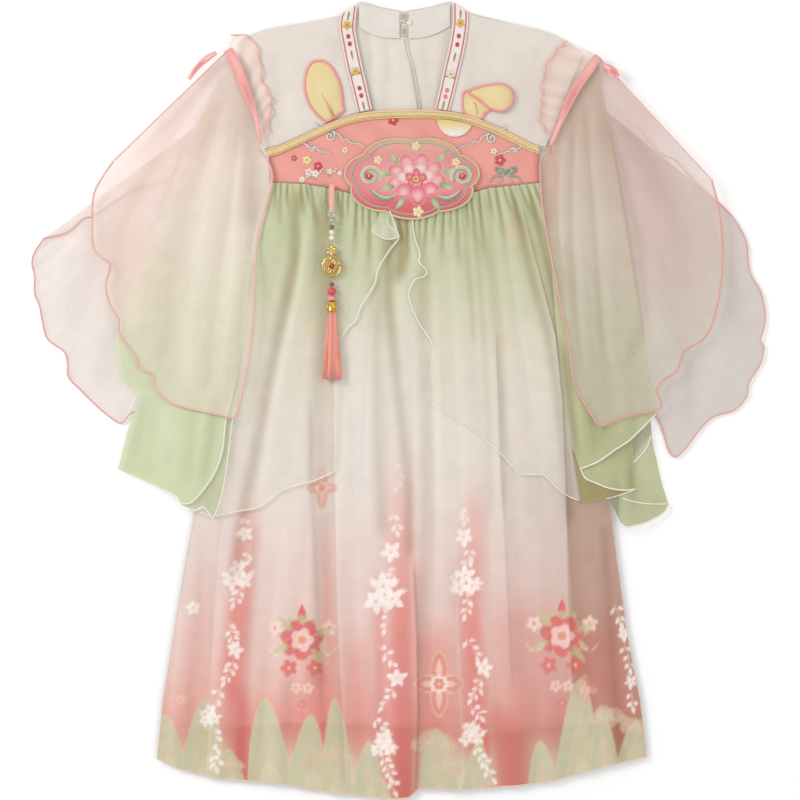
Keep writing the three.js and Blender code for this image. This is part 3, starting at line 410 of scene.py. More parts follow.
def pts_curve(rows, n, keys=("x", "y")):
    t = np.linspace(0, 1, n)
    return np.stack([curve(rows, t, k) for k in keys], -1)

# --------------------------------------------------------------- materials
def fabric(name, rough=0.8, alpha=1.0, sheen=0.25, weave=0.12, scale=1400.0, spec=0.25, metal=0.0, coat=0.0, aniso=0.0):
    m = bpy.data.materials.new(name)
    m.use_nodes = True
    nt = m.node_tree
    b = nt.nodes["Principled BSDF"]
    b.inputs["Roughness"].default_value = rough
    b.inputs["Alpha"].default_value = alpha
    b.inputs["Sheen Weight"].default_value = sheen
    b.inputs["Sheen Roughness"].default_value = 0.5
    b.inputs["Specular IOR Level"].default_value = spec
    b.inputs["Metallic"].default_value = metal
    b.inputs["Coat Weight"].default_value = coat
    b.inputs["Anisotropic"].default_value = aniso
    at = nt.nodes.new("ShaderNodeAttribute")
    at.attribute_name = "Col"
    tc = nt.nodes.new("ShaderNodeTexCoord")
    no = nt.nodes.new("ShaderNodeTexNoise")
    no.inputs["Scale"].default_value = 60.0
    no.inputs["Detail"].default_value = 4.0
    nt.links.new(tc.outputs["Object"], no.inputs["Vector"])
    ramp = nt.nodes.new("ShaderNodeMapRange")
    ramp.inputs["From Min"].default_value = 0.3
    ramp.inputs["From Max"].default_value = 0.7
    ramp.inputs["To Min"].default_value = 0.97
    ramp.inputs["To Max"].default_value = 1.03
    nt.links.new(no.outputs["Fac"], ramp.inputs["Value"])
    mul = nt.nodes.new("ShaderNodeVectorMath")
    mul.operation = "SCALE"
    nt.links.new(at.outputs["Color"], mul.inputs[0])
    nt.links.new(ramp.outputs["Result"], mul.inputs["Scale"])
    nt.links.new(mul.outputs["Vector"], b.inputs["Base Color"])
    hs = []
    for d in ("X", "Y"):
        w = nt.nodes.new("ShaderNodeTexWave")
        w.bands_direction = d
        w.inputs["Scale"].default_value = scale / 6.28
        w.inputs["Distortion"].default_value = 1.2
        nt.links.new(tc.outputs["Object"], w.inputs["Vector"])
        hs.append(w)
    ad = nt.nodes.new("ShaderNodeMath")
    ad.operation = "ADD"
    nt.links.new(hs[0].outputs["Fac"], ad.inputs[0])
    nt.links.new(hs[1].outputs["Fac"], ad.inputs[1])
    bu = nt.nodes.new("ShaderNodeBump")
    bu.inputs["Strength"].default_value = weave
    bu.inputs["Distance"].default_value = 0.0002
    if name in ("satin_stitch", "braid"):
        st = nt.nodes.new("ShaderNodeTexWave")
        st.bands_direction = "DIAGONAL"
        st.inputs["Scale"].default_value = 330.0
        st.inputs["Distortion"].default_value = 9.0
        st.inputs["Detail"].default_value = 3.0
        st.inputs["Detail Scale"].default_value = 2.5
        nt.links.new(tc.outputs["Object"], st.inputs["Vector"])
        sr = nt.nodes.new("ShaderNodeMapRange")
        sr.inputs["To Min"].default_value = 0.84
        sr.inputs["To Max"].default_value = 1.07
        nt.links.new(st.outputs["Fac"], sr.inputs["Value"])
        m2 = nt.nodes.new("ShaderNodeVectorMath")
        m2.operation = "SCALE"
        nt.links.new(mul.outputs["Vector"], m2.inputs[0])
        nt.links.new(sr.outputs["Result"], m2.inputs["Scale"])
        nt.links.new(m2.outputs["Vector"], b.inputs["Base Color"])
        nt.links.new(st.outputs["Fac"], ad.inputs[1])
    nt.links.new(ad.outputs["Value"], bu.inputs["Height"])
    nt.links.new(bu.outputs["Normal"], b.inputs["Normal"])
    return m

M = dict(
    cotton=fabric("cotton", 0.85, weave=0.2),
    skirt=fabric("chiffon_skirt", 0.75, sheen=0.3, weave=0.1, scale=2400),
    over=fabric("chiffon_over", 0.7, alpha=0.5, sheen=0.3, weave=0.1, scale=2400),
    sleeve=fabric("chiffon_sleeve", 0.7, alpha=0.85, sheen=0.3, weave=0.1, scale=2400),
    organza=fabric("organza", 0.5, alpha=0.55, sheen=0.4, weave=0.1, scale=2600, spec=0.4),
    wing=fabric("organza_wing", 0.5, alpha=0.8, sheen=0.4, weave=0.1, scale=2600, spec=0.4),
    band=fabric("band_cotton", 0.85, weave=0.35, scale=1100),
    merrow=fabric("merrow_thread", 0.6, sheen=0.2, weave=0.5, scale=3000),
    satin=fabric("satin", 0.32, sheen=0.3, weave=0.05, spec=0.6, aniso=0.5),
    braid=fabric("braid", 0.5, sheen=0.2, weave=0.6, scale=2200, spec=0.5),
    stitch=fabric("satin_stitch", 0.5, sheen=0.5, weave=0.6, scale=2600, spec=0.5),
    gold=fabric("gold_metal", 0.25, sheen=0, weave=0.03, metal=1.0),
    silver=fabric("silver_metal", 0.22, sheen=0, weave=0.02, metal=1.0),
    pearl=fabric("pearl", 0.2, sheen=0.1, weave=0.0, spec=0.6, coat=0.6),
    bead=fabric("glass_bead", 0.15, sheen=0, weave=0.0, spec=0.6, coat=0.8),
    tassel=fabric("tassel_thread", 0.5, sheen=0.4, weave=0.2, spec=0.4),
)

def mesh_obj(name, verts, faces, cols, mat, body=G, replaces=(), slot=None, smooth=True):
    me = bpy.data.meshes.new(name)
    verts = np.asarray(verts, float).reshape(-1, 3) * MM
    me.from_pydata(verts.tolist(), [], [list(map(int, f)) for f in faces]) if not isinstance(faces, np.ndarray) else None
    if isinstance(faces, np.ndarray):
        k = faces.shape[1]
        me.vertices.add(len(verts))
        me.vertices.foreach_set("co", verts.ravel())
        me.loops.add(faces.size)
        me.loops.foreach_set("vertex_index", faces.ravel().astype(np.int32))
        me.polygons.add(len(faces))
        me.polygons.foreach_set("loop_start", np.arange(0, faces.size, k, dtype=np.int32))
        me.update(calc_edges=True)
    me.validate()
    ca = me.color_attributes.new("Col", "FLOAT_COLOR", "POINT")
    c = np.ones((len(verts), 4), np.float32)
    c[:, :3] = lin(np.clip(np.asarray(cols, float).reshape(-1, 3) * np.ones((len(verts), 1)), 0, 255))
    ca.data.foreach_set("color", c.ravel())
    me.polygons.foreach_set("use_smooth", [smooth] * len(me.polygons))
    ob = bpy.data.objects.new(name, me)
    bpy.context.scene.collection.objects.link(ob)
    me.materials.append(M[mat])
    if mat in ("over", "organza", "wing", "sleeve"):
        ob.visible_shadow = False
    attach(ob, body)
    if replaces:
        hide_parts(*replaces)
    return ob

def grid_faces(nv, nu, closed_u=False):
    i, j = np.meshgrid(np.arange(nv - 1), np.arange(nu if closed_u else nu - 1), indexing="ij")
    j2 = (j + 1) % nu
    return np.stack([i * nu + j, i * nu + j2, (i + 1) * nu + j2, (i + 1) * nu + j], -1).reshape(-1, 4)

def grid_obj(name, P, cols, mat, sheet=None, strip=False, **kw):
    nv, nu = P.shape[:2]
    F = grid_faces(nv, nu)
    a, b, d = P[0, 0], P[0, 1], P[1, 0]
    if np.cross(b - a, d - a)[2] < 0:
        F = F[:, ::-1]
    ob = mesh_obj(name, P, F, cols, mat, **kw)
    if sheet is not None:
        e = P * MM
        q = np.linalg.norm(np.cross(e[1:, 1:] - e[:-1, :-1], e[1:, :-1] - e[:-1, 1:]), axis=-1) * 0.5
        area = float(q.sum())
        w = max(float(e[..., 0].max() - e[..., 0].min()) * 1.03, 0.0102)
        l = max(float(e[..., 1].max() - e[..., 1].min()) * 1.03, 0.0102)
        if strip:
            l = float(np.linalg.norm(np.diff(e[:, nu // 2], axis=0), axis=-1).sum())
            m = float(np.linalg.norm(np.diff(e[nv // 2], axis=0), axis=-1).sum())
            w, l = max(area / max(l, m) * 1.02, 0.0102), max(l, m) * 1.02
        area = min(max(area, 0.31 * w * l), 0.99 * w * l)
        SHEETS.append((name, round(w, 3), round(l, 3), round(area, 4)))
    return ob
SHEETS = []

class Batch:
    """Many small things joined in one mesh."""
    def __init__(self):
        self.v, self.f, self.c, self.n = [], [], [], 0
    def add(self, P, F, col):
        P = np.asarray(P, float).reshape(-1, 3)
        self.v.append(P)
        self.f += [[int(k) + self.n for k in f] for f in F]
        self.c.append(np.asarray(col, float).reshape(-1, 3) * np.ones((len(P), 1)))
        self.n += len(P)
    def tube(self, path, r, col, n=6, flat=1.0, z=None, taper=None):
        p = np.asarray(path, float)
        if p.shape[1] == 2:
            p = np.column_stack([p, np.full(len(p), 0.0 if z is None else z)])
        t = np.gradient(p, axis=0)
        t /= np.maximum(np.linalg.norm(t, axis=1, keepdims=True), 1e-9)
        side = np.cross(t, [0, 0, 1.0])
        side /= np.maximum(np.linalg.norm(side, axis=1, keepdims=True), 1e-9)
        up = np.cross(side, t)
        rr = r if taper is None else r * taper[:, None]
        rings = []
        for k in range(n):
            a = 2 * math.pi * k / n
            rings.append(p + side * (rr * math.cos(a)) + up * (rr * flat * math.sin(a)))
        R = np.stack(rings, 1)
        m = len(p)
        F = grid_faces(m, n, True).tolist()
        F.append(list(range(n))[::-1])
        F.append([(m - 1) * n + k for k in range(n)])
        self.add(R, F, col if np.ndim(col) == 1 else np.repeat(np.asarray(col), n, 0))
    def pad(self, x, y, rx, ry, rot, z, h, col, col2=None, n=14, rings=3, tip=0.0):
        """A domed satin-stitch pad; tip > 0 draws one end to a point."""
        V = [[x, y, z + h]]
        for j in range(1, rings + 1):
            s = j / rings
            hh = h * math.sqrt(max(0.0, 1 - s * s * 0.98))
            for k in range(n):
                a = 2 * math.pi * k / n
                px = rx * s * math.cos(a)
                py = ry * s * math.sin(a) * (1 - tip * (0.5 + 0.5 * math.cos(a)) ** 1.5)
                V.append([x + px * math.cos(rot) - py * math.sin(rot), y + px * math.sin(rot) + py * math.cos(rot), z + hh])
        F = [[0, 1 + k, 1 + (k + 1) % n] for k in range(n)]
        for j in range(rings - 1):
            for k in range(n):
                a, b = 1 + j * n + k, 1 + j * n + (k + 1) % n
                F.append([a, a + n, b + n, b])
        V = np.array(V)
        c = np.asarray(col, float)
        if col2 is not None:
            d = np.clip(np.hypot((V[:, 0] - x) / max(rx, ry), (V[:, 1] - y) / max(rx, ry)), 0, 1)
            c = mix(col2, col, sm(d))
        self.add(V, F, c)
    def flower(self, x, y, r, z, col, centre, n=5, rot=0.0, h=0.8, col2=None):
        for k in range(n):
            a = rot + 2 * math.pi * k / n
            self.pad(x + 0.55 * r * math.cos(a), y + 0.55 * r * math.sin(a), 0.5 * r, 0.42 * r, a, z, h, col, col2, n=10, rings=2)
        self.pad(x, y, 0.26 * r, 0.26 * r, 0, z + 0.25, h, centre, n=8, rings=2)
    def obj(self, name, mat, body=G, replaces=(), slot=None):
        return mesh_obj(name, np.concatenate(self.v), self.f, np.concatenate(self.c), mat, body=body, replaces=replaces, slot=slot)

# ------------------------------------------------------------------- skirt
sk_l = lambda y: read(SKIRT_SIDES, "y", y, "left")
sk_r = lambda y: read(SKIRT_SIDES, "y", y, "right")
NU, NV = 340, 280

def skirt_xy(u, v, short=0.0, inset=0.0):
    top = read(WAIST, "u", u, "y")
    low = read(HEM, "u", u, "y") + short
    y = top + (low - top) * v
    side = top + (-358.0 - top) * v
    return (sk_l(side) + inset) * (1 - u) + (sk_r(side) - inset) * u, y

def skirt_relief(u, v):
    h = np.zeros(np.broadcast(u, v).shape)
    A = [f["at"] for f in SKIRT_FOLDS]
    for i, f in enumerate(SKIRT_FOLDS):
        lo = (A[i - 1] + A[i]) / 2 if i else 0
        hi = (A[i + 1] + A[i]) / 2 if i < len(A) - 1 else 1
        w = 0.010 * np.sin(v * 5 + i * 1.7)
        t = np.where(u < f["at"] + w, (u - lo) / (f["at"] + w - lo), (hi - u) / (hi - f["at"] - w))
        crest = np.where(v < 0.45, f["waist"] + (f["mid"] - f["waist"]) * sm(v / 0.45), f["mid"] + (f["hem"] - f["mid"]) * sm((v - 0.45) / 0.55))
        h = np.maximum(h, crest * np.sin(np.clip(t, 0, 1) * math.pi / 2) ** 1.4)
    return h

# Main creases: a path down the cloth, half width, depth, how much painted shade (a negative value paints highlight),
# kind.
# trough: soft valley; ridge: soft crest; lap_l / lap_r: a fold whose edge lies on the path, its cloth to the left / right.
SKIRT_CREASES = [
    ([(-101, 214), (-103, 138), (-115, 84), (-128, 22), (-140, -44), (-153, -105), (-166, -190)], 7, 1.6, 0.75, "trough"),
    ([(-95, 195), (-92, 160), (-98, 110), (-112, 50), (-124, -10), (-136, -100)], 5, 1.0, -0.5, "ridge"),
    ([(-77, 206), (-76, 145), (-77, 73), (-78, 2), (-78, -59), (-77, -120), (-76, -200), (-76, -290)], 9, 1.6, 0.5, "trough"),
    ([(-65, 160), (-64, 0), (-63, -100), (-61, -200), (-56, -300), (-52, -392)], 10, 1.8, 0.55, "lap_r"),
    ([(-87, 0), (-85, -100), (-80, -200), (-76, -290), (-72, -340)], 3, 0.8, 0.35, "trough"),
    ([(-35, 70), (-38, -30), (-40, -160), (-32, -300), (-26, -392)], 6, 0.8, -0.25, "ridge"),
    ([(3, 200), (4, 168), (4, 138), (0, 114)], 7, 1.6, 0.95, "trough"),
    ([(-10, 168), (-9, 100), (-2, 35), (5, -30), (11, -90), (12, -160)], 6, 1.4, 0.7, "trough"),
    ([(-20, 130), (-21, 40), (-19, -50), (-14, -140)], 7, 1.2, 0.42, "trough"),
    ([(-14, -160), (-12, -240), (-8, -392)], 5, 0.7, -0.2, "ridge"),
    ([(25, 138), (26, 43), (29, -39), (30, -110), (27, -187), (22, -263), (19, -314), (16, -400)], 7, 1.6, 0.42, "trough"),
    ([(33, 55), (36, -40), (37, -140), (35, -240), (32, -320)], 9, 1.4, 0.16, "lap_r"),
    ([(15, -160), (19, -240), (20, -314), (17, -398)], 12, 2.4, 0.7, "lap_l"),
    ([(57, -160), (59, -240), (62, -316), (64, -392)], 7, 1.3, 0.35, "lap_r"),
    ([(64, 200), (69, 155), (75, 100), (78, 50)], 3.5, 1.1, 0.28, "trough"),
    ([(76, 204), (81, 135), (86, 70), (91, -20), (94, -120)], 4, 1.0, 0.3, "trough"),
    ([(88, 208), (94, 145), (102, 73), (106, 0), (107, -120)], 4.5, 1.2, 0.32, "trough"),
    ([(98, 70), (102, -50), (108, -160), (114, -290)], 6, 0.9, 0.35, "lap_l"),
    ([(115, 208), (133, 135), (150, 73), (161, 12), (169, -59), (173, -130)], 6, 1.8, 0.6, "trough"),
    ([(122, 200), (142, 125), (158, 65), (165, 0), (168, -70), (171, -200), (176, -300)], 9, 1.8, 0.55, "lap_l"),
    ([(130, 212), (147, 150), (159, 100), (168, 40)], 4, 1.2, 0.5, "trough"),
    ([(138, -120), (144, -240), (150, -380)], 8, 0.8, -0.2, "ridge"),
    ([(206, -120), (214, -240), (224, -370)], 5, 1.0, 0.5, "trough"),
    ([(192, -160), (198, -280), (206, -380)], 6, 0.8, -0.2, "ridge"),
    ([(-190, -120), (-198, -200), (-205, -290), (-212, -370)], 6, 1.0, 0.14, "trough"),
    ([(-176, -120), (-184, -220), (-190, -320), (-192, -380)], 5, 0.9, 0.35, "lap_r"),
    ([(-216, -200), (-222, -280), (-228, -360)], 5, 0.8, -0.3, "ridge"),
    ([(-140, -120), (-148, -220), (-155, -320), (-158, -384)], 6, 1.0, 0.35, "trough"),
    ([(-112, -70), (-117, -180), (-122, -300), (-125, -386)], 9, 0.9, -0.25, "ridge"),
]
# short tucks of the gathered waist: x on the waist line, foot x, length, half width
TUCKS = [(276, 275, 30, 1.6), (281, 280, 44, 1.8), (288, 287, 26, 1.4), (301, 304, 34, 1.8), (306, 311, 22, 1.3), (311, 318, 46, 1.9), (327, 328, 50, 2.0), (338, 339, 24, 1.4),
         (343, 341, 40, 1.7), (349, 347, 30, 1.5), (357, 355, 58, 1.9), (363, 363, 34, 1.5), (370, 369, 66, 2.1), (378, 380, 30, 1.5), (389, 394, 40, 2.4), (398, 402, 30, 1.6),
         (407, 408, 46, 1.9), (414, 414, 26, 1.4), (420, 419, 36, 1.7), (427, 423, 52, 2.0), (436, 433, 30, 1.6), (444, 442, 48, 1.8), (451, 451, 30, 1.5), (457, 459, 60, 2.0),
         (466, 470, 36, 1.6), (471, 476, 50, 1.7), (479, 485, 70, 2.0), (488, 494, 34, 1.5), (496, 506, 60, 2.0), (503, 512, 28, 1.4), (510, 526, 56, 2.1), (519, 534, 34, 1.7),
         (527, 546, 60, 2.1), (534, 545, 30, 1.6)]

def crease_field(x, y, rows, end=22.0):
    h = np.zeros(x.shape)
    # d gathers the painted shade of each crease; where it is negative it paints highlight
    d = np.zeros(x.shape)
    for path, w, depth, dark, kind in rows:
        p = np.array(path, float)[::-1]
        xl = np.interp(y, p[:, 1], p[:, 0])
        f = sm((y - p[0, 1] + 4) / end) * sm((p[-1, 1] - y + 4) / end)
        q = x - xl
        if kind == "trough":
            g = np.exp(-(q / w) ** 2) * f
            h, d = h - depth * g, d + dark * g
        elif kind == "ridge":
            g = np.exp(-(q / w) ** 2) * f
            h, d = h + depth * g, d + dark * g
        else:
            k = -1 if kind == "lap_l" else 1
            q = q * k
            step = sm(q / 2.2 + 0.5)
            h = h + depth * step * np.exp(-np.maximum(q, 0) / (w * 1.5)) * f
            d = d + dark * (1 - step) * np.exp(np.minimum(q, 0) / 6.0) * f - 0.3 * dark * step * np.exp(-((q - 2) / 3.5) ** 2) * f
    return h, d

def tuck_field(x, y):
    h = np.zeros(x.shape)
    d = np.zeros(x.shape)
    for a, b_, ln, w in TUCKS:
        x0, x1 = a - 398.0, b_ - 398.0
        y0 = float(read(WAIST, "u", (x0 + 125) / 268.0, "y"))
        if abs(x0 - 14) < 68:
            y0 = min(y0, 222 - 41 * math.sqrt(max(0.0, 1 - ((x0 - 14) / 68) ** 2)) + 3)
        t = (y0 - y) / ln
        q = (x - (x0 + (x1 - x0) * t)) / (w * (0.6 + 1.2 * np.clip(t, 0, 1.5)))
        g = np.exp(-q ** 2) * sm(t * 8 + 0.6) * (1 - sm(t * 0.9 - 0.1))
        r = np.exp(-(q - 2.2) ** 2) * sm(t * 8 + 0.6) * (1 - sm(t * 0.9 - 0.1))
        # painted shade down each tuck's valley and painted highlight on its edge
        h, d = h - 1.0 * g + 0.5 * r, d + 0.95 * g - 0.35 * r
    return h, d

uu, vv = np.meshgrid(np.linspace(0, 1, NU), np.linspace(0, 1, NV))
sx, sy = skirt_xy(uu, vv)
rel = skirt_relief(uu, vv)
ch, cd = crease_field(sx, sy, SKIRT_CREASES)
th, td = tuck_field(sx, sy)
gather = (0.5 + 0.5 * np.sin(uu * 330 + 4 * np.sin(uu * 31))) * np.exp(-vv * 16) * 0.8
fine = 0.35 * wob(uu * 900 + vv * 6, 3, 7, 0.05, 0.22) * (0.3 + 0.7 * vv)
relief = np.maximum(0.45 * rel + ch + th + 1.2 + fine, 0.0) + gather
sz = Z_SKIRT + 0.5 + relief

STOPS = [(175, (193, 199, 160)), (215, (198, 203, 167)), (250, (203, 206, 175)), (285, (210, 210, 184)), (320, (217, 213, 194)), (350, (223, 216, 202)), (430, (226, 218, 208)),
         (500, (227, 214, 205)), (560, (228, 206, 198)), (620, (227, 198, 189)), (670, (226, 186, 176)), (700, (224, 170, 159)), (722, (220, 152, 141)), (726, (212, 148, 134)),
         (742, (214, 166, 148)), (760, (214, 192, 168)), (800, (216, 206, 184))]
CORAL = [(175, (196, 203, 158)), (300, (214, 211, 184)), (430, (227, 217, 207)), (480, (228, 205, 196)), (530, (227, 182, 172)), (590, (224, 156, 146)), (650, (220, 134, 126)),
         (700, (216, 124, 116)), (722, (216, 122, 114)), (726, (208, 118, 108)), (800, (208, 112, 102))]
# columns of stronger coral: path, half width, strength, and where it starts
CORAL_COLUMNS = [
    ([(-148, -70), (-151, -120), (-158, -200), (-166, -280), (-158, -316), (-156, -384)], 12, 1.0),
    ([(1, 5), (2, -120), (4, -200), (3, -280), (5, -400)], 15, 1.0),
    ([(-14, -160), (-14, -240), (-12, -300), (-6, -400)], 12, 0.6),
    ([(77, -60), (76, -120), (72, -200), (76, -280), (82, -342)], 13, 0.95),
    ([(102, -290), (112, -340), (116, -390)], 20, 0.9),
    ([(-43, -220), (-40, -290), (-36, -340)], 16, 0.45),
    ([(-136, -290), (-144, -320), (-150, -340)], 14, 0.4),
    ([(-193, -160), (-200, -240), (-208, -300)], 12, 0.22),
    ([(-80, -240), (-76, -300), (-74, -336)], 18, 0.8),
    ([(-74, -100), (-70, -200), (-65, -280)], 7, 0.5),
    ([(192, -200), (194, -250), (196, -282)], 34, 0.5),
    ([(34, -210), (36, -280), (38, -322)], 22, 0.6),
    ([(122, -180), (130, -250), (136, -322)], 36, 0.42),
    ([(-98, -260), (-102, -300), (-104, -324)], 26, 0.4),
]

def ramp(stops, y):
    k = [s[0] for s in stops]
    return np.stack([np.interp(y, k, [s[1][c] for s in stops]) for c in range(3)], -1)

def streaks(x, y):
    s = np.zeros(x.shape)
    for path, w, k in CORAL_COLUMNS:
        p = np.array(path, float)[::-1]
        q = (x - np.interp(y, p[:, 1], p[:, 0])) / w
        s = np.maximum(s, k * np.exp(-np.abs(q) ** 2.6) * sm((p[-1, 1] - y + 10) / 60) * sm((y - p[0, 1] + 40) / 40))
    return s

def skirt_colour(x, y, shade):
    py = 400 - y
    c = mix(ramp(STOPS, py + 7 * wob(x * 1.0, 17, 6, 0.05, 0.3) + 3 * wob(x, 19, 5, 0.4, 1.1)), ramp(CORAL, py), streaks(x, y))
    # painted shade: the side panel at the right lies back, so it is painted a little darker and warmer
    side = sm((x - np.interp(-y, [100, 300], [167, 177])) / 3.0) * sm((-y - 60) / 40)
    c = c * (1 - side[..., None] * np.array((0.10, 0.175, 0.215)))
    # painted shade growing towards the right and the hem, as if lit from the left
    c = c * (1 - sm((x - 60) / 130)[..., None] * sm((-y + 10) / 90)[..., None] * np.array((0.085, 0.10, 0.115)))
    # painted shade: warm ochre in the green folds
    return mix(c, (176, 160, 108), np.clip(shade, 0, 1) * 0.42 * sm((400 - py) / 150) + 0.0)

class Paint:
    """Soft-edged printed motifs painted on a sheet's points."""
    def __init__(self, x, y, c, soft=1.3):
        self.x, self.y, self.c, self.soft = x, y, c, soft
    def blend(self, d, col, a, sel):
        m = np.clip(0.5 - d / self.soft, 0, 1) * a
        self.c[sel] = mix(self.c[sel], col, m)
    def ellipse(self, cx, cy, rx, ry, rot, col, a=1.0, ring=None, tip=0.0, lens=False):
        R = max(rx, ry) + 3
        sel = np.where((abs(self.x - cx) < R) & (abs(self.y - cy) < R))
        if not len(sel[0]):
            return
        dx, dy = self.x[sel] - cx, self.y[sel] - cy
        px = dx * math.cos(rot) + dy * math.sin(rot)
        py = -dx * math.sin(rot) + dy * math.cos(rot)
        ryy = ry * (1 - tip * np.clip(0.5 + 0.5 * px / rx, 0, 1) ** 1.5)
        if lens:
            ryy = ryy * np.sqrt(np.clip(1 - (px / rx) ** 2, 0.02, 1))
        q = np.hypot(px / rx, py / np.maximum(ryy, 0.3))
        d = (q - 1) * min(rx, ry)
        if ring:
            d = abs(d) - ring
        self.blend(d, col, a, sel)
    def line(self, path, w, col, a=1.0):
        p = np.asarray(path, float)
        for k in range(len(p) - 1):
            a0, b0 = p[k], p[k + 1]
            lo, hi = np.minimum(a0, b0) - w - 3, np.maximum(a0, b0) + w + 3
            sel = np.where((self.x > lo[0]) & (self.x < hi[0]) & (self.y > lo[1]) & (self.y < hi[1]))
            if not len(sel[0]):
                continue
            ab = b0 - a0
            t = np.clip(((self.x[sel] - a0[0]) * ab[0] + (self.y[sel] - a0[1]) * ab[1]) / max(ab @ ab, 1e-9), 0, 1)
            self.blend(np.hypot(self.x[sel] - a0[0] - t * ab[0], self.y[sel] - a0[1] - t * ab[1]) - w, col, a, sel)
    def flower(self, x, y, r, col, a=1.0, n=5, rot=0.0, centre=None):
        for k in range(n):
            t = rot + 2 * math.pi * k / n
            self.ellipse(x + 0.56 * r * math.cos(t), y + 0.56 * r * math.sin(t), 0.48 * r, 0.36 * r, t, col, a)
        if centre is not None:
            self.ellipse(x, y, 0.2 * r, 0.2 * r, 0, centre, a)

shade = cd + td
col = skirt_colour(sx, sy, shade)
P = Paint(sx, sy, col)
WHITE, CREAM, GOLD, ROSE, RED = (246, 236, 228), (240, 230, 208), (214, 180, 120), (226, 128, 128), (212, 86, 96)
# rounded hills and clouds along the hem
for hx, hy, w, h, ln in ((-230, -378, 21, 62, 0.06), (-196, -384, 25, 84, -0.05), (-166, -388, 15, 38, 0.1), (-128, -394, 25, 94, 0.06), (-92, -398, 22, 82, -0.06), (-60, -404, 18, 104, 0.03),
                     (-32, -408, 17, 66, -0.05), (-14, -412, 10, 34, 0.1), (42, -412, 24, 82, 0.05), (76, -408, 17, 66, -0.08), (146, -404, 18, 62, 0.06), (178, -400, 25, 120, -0.04), (208, -394, 18, 84, 0.06),
                     (234, -386, 20, 64, -0.06)):
    rr = math.pi / 2 + ln
    P.ellipse(hx, hy, h, w, rr, (194, 192, 160), 0.9, tip=0.3)
    P.ellipse(hx + w * 0.1, hy - h * 0.22, h * 0.9, w * 0.86, rr, (204, 190, 160), 0.75, tip=0.28)
    P.ellipse(hx + w * 0.14, hy - h * 0.5, h * 0.86, w * 0.8, rr, (212, 200, 174), 0.7, tip=0.25)
    P.ellipse(hx, hy, h, w, rr, (224, 200, 148), 0.75, ring=0.3, tip=0.3)
    for g_ in (-0.55, 0.0, 0.5):
        P.line([(hx - ln * h * 0.75 + w * g_ * 0.35, hy + h * (0.74 - abs(g_) * 0.3)), (hx + w * g_ * 0.8, hy + h * 0.1), (hx + w * g_ * 1.05, hy - h * 0.6)], 0.25, (224, 200, 150), 0.55)
for cx, cy, s in ((-66, -354, 1.0), (36, -342, 1.15), (54, -364, 0.95), (210, -316, 1.0), (238, -326, 0.8), (-166, -364, 0.6)):
    for dx, dy, r in ((-13, -3, 7), (-4, 3, 8.5), (7, 1, 8), (15, -4, 6), (1, -6, 8)):
        P.ellipse(cx + dx * s, cy + dy * s, r * s, r * s * 0.85, 0, (208, 188, 162), 0.6)
    for dx, dy, r in ((-13, -3, 7), (-4, 3, 8.5), (7, 1, 8), (15, -4, 6)):
        P.ellipse(cx + dx * s, cy + dy * s, r * s, r * s * 0.85, 0, (222, 194, 150), 0.5, ring=0.25)
        P.ellipse(cx + dx * s, cy + (dy - 0.5) * s, r * s * 0.45, r * s * 0.4, 0, (230, 214, 196), 0.6, ring=0.3)
# white flowering vines on the coral streaks
def leaf(x, y, l, w, a, al=0.8):
    P.ellipse(x + 0.5 * l * math.cos(a), y + 0.5 * l * math.sin(a), 0.5 * l, w, a, (247, 237, 230), al, lens=True)
    P.line([(x, y), (x + 0.8 * l * math.cos(a), y + 0.8 * l * math.sin(a))], 0.1, (230, 190, 180), 0.5)

def spray(x, y, x2, y2, n, r, al=0.8, l=8.0):
    """Broad leaves on either side of a short bowed stem."""
    P.line([(x, y), ((x + x2) / 2 + 1.5, (y + y2) / 2), (x2, y2)], 0.22, (246, 236, 229), al * 0.8)
    a0 = math.atan2(y2 - y, x2 - x)
    for k in range(n):
        t = (k + 0.3) / n
        px, py_ = x + (x2 - x) * t + 1.5 * math.sin(t * math.pi), y + (y2 - y) * t
        for sg in (-1, 1):
            if r.rand() < 0.84:
                a1 = a0 + sg * r.uniform(0.55, 1.0)
                leaf(px + 1.3 * math.cos(a1), py_ + 1.3 * math.sin(a1), l * r.uniform(0.75, 1.1), 2.1 * r.uniform(0.8, 1.1), a1, al)
    leaf(x2, y2, l * 1.05, 2.1, a0 + r.uniform(-0.2, 0.2), al)

def bloom(x, y, r0, a, al=0.84, n=5):
    for k in range(n):
        t = a + 2 * math.pi * k / n
        ln = (1.0, 0.86, 1.1, 0.92, 1.05, 0.9)[k % 6]
        P.ellipse(x + 0.58 * r0 * ln * math.cos(t), y + 0.58 * r0 * ln * math.sin(t), 0.56 * r0 * ln, 0.31 * r0, t, (249, 240, 233), al, lens=True)
    for k in range(n):
        t = a + 2 * math.pi * k / n
        P.line([(x + 0.2 * r0 * math.cos(t), y + 0.2 * r0 * math.sin(t)), (x + 0.75 * r0 * math.cos(t), y + 0.75 * r0 * math.sin(t))], 0.14, (230, 184, 174), 0.5)
    P.ellipse(x, y, 0.13 * r0, 0.13 * r0, 0, (230, 176, 160), al)

def cluster(x, y, r0, r, al=0.8):
    """Several open blooms over one another, with leaves between."""
    for k in range(5):
        t = 2 * math.pi * k / 5 + r.uniform(-0.3, 0.3)
        leaf(x + 0.75 * r0 * math.cos(t), y + 0.5 * r0 * math.sin(t), 0.75 * r0, 0.17 * r0, t + r.uniform(-0.4, 0.4), al * 0.85)
    for dx, dy, g in ((-0.5, -0.45, 0.74), (0.5, -0.3, 0.72), (-0.05, 0.52, 0.78)):
        a_ = r.uniform(0, 6)
        x1, y1 = x + dx * r0, y + dy * r0
        P.ellipse(x1, y1, 0.34 * g * r0, 0.34 * g * r0, 0, (240, 214, 204), al * 0.5)
        bloom(x1, y1, g * r0, a_, al)

